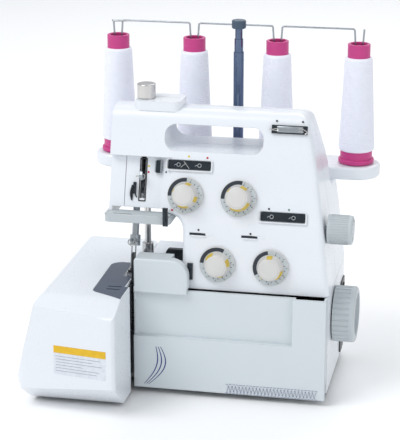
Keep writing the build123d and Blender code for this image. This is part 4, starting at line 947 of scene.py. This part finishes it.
class SERGER_OT_thread_cones(bpy.types.Operator):
    """Crossed layers of thread wound on the four cones, and rings on their cores"""
    bl_idname = "serger.thread_cones"
    bl_label = "Thread cones"

    def execute(self, context):
        sizes = context.scene.serger_sizes
        low, high = THREAD_Z
        for number, x in enumerate(CONES_X, 1):
            layers = []
            for reverse in (False, True):
                coil = grown(tree_for(winding_tree), {
                    "Turns": float(sizes.thread_turns), "Low Radius": THREAD_D[0] / 2 * MM,
                    "High Radius": THREAD_D[1] / 2 * MM, "Height": (high - low - 4.6) * MM,
                    "Strand": sizes.strand / 2, "Reverse": reverse,
                    "Material": wound_thread()})
                coil.transform(Matrix.Translation(place(x, CONE_Y, low + 2.3)))
                layers.append(coil)
            piece(f"thread_winding_{number}", joined(layers), None, f"cone_{number}",
                  smooth=180)
            rim = turned(((8.7, 344.4), (11.2, 344.4), (11.75, 344.9), (11.75, 345.5),
                          (11.2, 345.9), (9.2, 345.9), (8.7, 345.4), (8.7, 344.4)), 48)
            piece(f"cone_rim_{number}", rim, pink_plastic(), f"cone_{number}",
                  Matrix.Translation(place(x, CONE_Y, 0)))
        return {"FINISHED"}


class SERGER_OT_cover_prints(bpy.types.Operator):
    """Generic printed motif and blank label on the covers"""
    bl_idname = "serger.cover_prints"
    bl_label = "Cover prints"

    def execute(self, context):
        sizes = context.scene.serger_sizes
        navy = ink("navy_ink", "#232C86")
        matrix = flat_on(-173.5, 0, 31.0, "front")
        waves = []
        for n in range(3):
            points = []
            for step in range(49):
                t = step / 48
                y = (t - 0.5) * 42
                x = (6.5 + 2.0 * n) * math.sin(math.pi * t) - 8 + 2.4 * n
                points.append((x + 0.30 * y, y))
            left = [(px - 0.35, py) for px, py in points]
            right = [(px + 0.35 + 0.5 * math.sin(math.pi * k / 48), py)
                     for k, (px, py) in enumerate(points)]
            waves.append(slab(right + list(reversed(left)), 0.0, 0.12))
        piece("cover_motif", joined(waves), navy, "front_cover", matrix)
        base = flat_on(0, 0, 0, "front")
        path = []
        for k in range(sizes.stitches * 2):
            path.append(base @ Vector(((-101 + 92 * k / (sizes.stitches * 2 - 1)) * MM,
                                       (11.5 + (3.4 if k % 2 else -3.4)) * MM, 0.06 * MM)))
        edges = [(k, k + 1) for k in range(len(path) - 1)]
        rows = [grown(tree_for(stitch_tree), {
            "Count": sizes.stitches * 14, "Size": (1.1 * MM, 0.9 * MM, 0.12 * MM),
            "Material": navy}, path, edges)]
        for z in (6.9, 16.4):
            line = [base @ Vector((px * MM, z * MM, 0.06 * MM)) for px in (-101, -9)]
            rows.append(grown(tree_for(stitch_tree), {
                "Count": sizes.stitches + 1, "Size": (2.6 * MM, 0.8 * MM, 0.12 * MM),
                "Material": navy}, line, [(0, 1)]))
        piece("cover_stitch_print", joined(rows), None, "front_cover")
        swept = Matrix.Rotation(math.radians(FRONT_SWEEP), 4, "Z")
        upright = Euler((math.radians(90), 0, 0)).to_matrix().to_4x4()
        face = Matrix.Translation(place(-236.7, -70.56, 58.0)) @ swept @ upright
        paper = slab(rounded(56.5, 31.0, 0.8, 0, -1.0), 0.0, 0.12)
        piece("label_paper", paper, ink("label_paper", "#E9EEF6"), "left_cover", face)
        band = slab([(-28.2, 14.4), (28.2, 14.4), (28.2, 6.8), (-28.2, 6.8)], 0.12, 0.2)
        piece("label_band", band, ink("yellow_label_ink", "#F2C21A"), "left_cover",
              face)
        rules = []
        for k, length in enumerate((48, 40, 50, 30, 47, 44)):
            y = 3.6 - 3.1 * k
            rules.append(slab([(-26, y), (-26 + length, y), (-26 + length, y - 0.55),
                               (-26, y - 0.55)], 0.12, 0.18))
        piece("label_rules", joined(rules), ink("grey_label_ink", "#A5ABB8"), "left_cover",
              face)
        return {"FINISHED"}


class SERGER_OT_looper_area(bpy.types.Operator):
    """Looper guard, adjusting screws and a thread hook beside the looper cover"""
    bl_idname = "serger.looper_area"
    bl_label = "Looper area"

    def execute(self, context):
        guard = slab([(-34, 12), (-12, 12), (-12, 70), (-24, 96), (-34, 96)], 0.0, 2.0, 0.5)
        piece("looper_guard", guard, black_enamel(), "machine",
              flat_on(-197.0, 0, 0, "left"))
        white = white_abs()
        heads = [screws(((-201.6, z),), 2.3, 2.2, flat_on(0, 16.5, 0, "front"), white,
                        black_plastic()) for z in (70.0, 106.0)]
        piece("looper_cover_studs", joined(heads), None, "machine")
        rods = [wire([(-203.8, 17, 76), (-202.6, 15.4, 84), (-203.4, 15.2, 94),
                      (-202.2, 16.6, 101)], 0.6)]
        piece("looper_thread_hook", joined(rods), chrome(), "machine",
              Matrix.Translation(place(0, 0, 0)))
        return {"FINISHED"}


class SERGER_OT_right_side(bpy.types.Operator):
    """Scale marks and grip ribs of the stitch length dial"""
    bl_idname = "serger.right_side"
    bl_label = "Right side"

    def execute(self, context):
        dark = ink("charcoal_ink", "#2F3540")
        matrix = flat_on(20.0, 40.0, 177.0, "right")
        ticks = grown(tree_for(ring_tree), {
            "Count": 9, "Radius": 10.2 * MM, "Start": math.radians(20),
            "Sweep": math.radians(220), "Size": (2.2 * MM, 0.6 * MM, 0.2 * MM),
            "Material": dark})
        ticks.transform(Matrix.Translation((0, 0, 0.05 * MM)))
        piece("length_dial_scale", ticks, None, "length_knob", matrix)
        ribs = grown(tree_for(ring_tree), {
            "Count": 36, "Radius": 14.75 * MM, "Start": 0.0,
            "Sweep": math.radians(350), "Size": (0.7 * MM, 1.1 * MM, 18.0 * MM),
            "Material": grey_abs()})
        piece("length_dial_ribs", ribs, None, "length_knob",
              flat_on(6.5, 40.0, 177.0, "right"))
        return {"FINISHED"}


class SERGER_OT_stage(bpy.types.Operator):
    """Pale floor, soft lights and the camera"""
    bl_idname = "serger.stage"
    bl_label = "Stage"

    def execute(self, context):
        scene = context.scene
        bm = bmesh.new()
        bmesh.ops.create_grid(bm, x_segments=1, y_segments=1, size=6)
        floor = bpy.data.objects.new("floor", to_mesh(bm))
        floor.data.materials.append(finish("pale_floor", ("#FFFFFF", "#FCFCFC"), (0.6, 0.7), 40.0,
                                           0.001, 900.0))
        scene.collection.objects.link(floor)
        floor.location.z = -0.0004
        world = bpy.data.worlds.new("studio")
        world.use_nodes = True
        sky = world.node_tree.nodes["Background"]
        sky.inputs["Color"].default_value = (0.93, 0.96, 1.0, 1)
        sky.inputs["Strength"].default_value = 0.68
        scene.world = world
        for name, at, size, power in (("key", (-1.3, -1.1, 2.4), 1.6, 36),
                                      ("fill", (1.7, -1.2, 1.3), 1.4, 6),
                                      ("back", (0.2, 1.9, 1.9), 1.6, 16)):
            lamp = bpy.data.lights.new(name, "AREA")
            lamp.size = size
            lamp.energy = power
            holder = bpy.data.objects.new(name, lamp)
            holder.location = at
            aim = Vector((0, 0, 0.15)) - Vector(at)
            holder.rotation_euler = aim.to_track_quat("-Z", "Y").to_euler()
            scene.collection.objects.link(holder)
        lens = bpy.data.cameras.new("camera")
        lens.lens = LENS
        camera = bpy.data.objects.new("camera", lens)
        camera.location = CAMERA
        down, around = (math.radians(a) for a in CAMERA_ANGLES)
        camera.rotation_euler = (math.pi / 2 - down, 0, around)
        scene.collection.objects.link(camera)
        scene.camera = camera
        scene.view_settings.view_transform = "Standard"
        return {"FINISHED"}


class SERGER_PT_panel(bpy.types.Panel):
    """Lists the machine's operators and settings"""
    bl_idname = "SERGER_PT_panel"
    bl_label = "Serger"
    bl_space_type = "VIEW_3D"
    bl_region_type = "UI"
    bl_category = "Serger"

    def draw(self, context):
        for group in (context.scene.serger_sizes, context.scene.serger_colours):
            for name in group.__annotations__:
                self.layout.prop(group, name)
        for operator in OPERATORS:
            self.layout.operator(operator.bl_idname)


OPERATORS = (SERGER_OT_finishes, SERGER_OT_tension_dials, SERGER_OT_thread_guides,
             SERGER_OT_colour_dots, SERGER_OT_head_details, SERGER_OT_needle_area,
             SERGER_OT_thread_cones, SERGER_OT_cover_prints, SERGER_OT_looper_area,
             SERGER_OT_right_side, SERGER_OT_stage)
CLASSES = (SergerColours, SergerSizes, *OPERATORS, SERGER_PT_panel)


def register():
    for kind in CLASSES:
        bpy.utils.register_class(kind)
    bpy.types.Scene.serger_colours = PointerProperty(type=SergerColours)
    bpy.types.Scene.serger_sizes = PointerProperty(type=SergerSizes)


def unregister():
    del bpy.types.Scene.serger_sizes
    del bpy.types.Scene.serger_colours
    for kind in reversed(CLASSES):
        bpy.utils.unregister_class(kind)


def main():
    for old in [o for o in bpy.data.objects if o.name in ("Cube", "Light", "Camera")]:
        bpy.data.objects.remove(old)
    register()
    for operator in OPERATORS:
        getattr(bpy.ops.serger, operator.bl_idname.split(".")[1])()


if __name__ == "__main__":
    main()
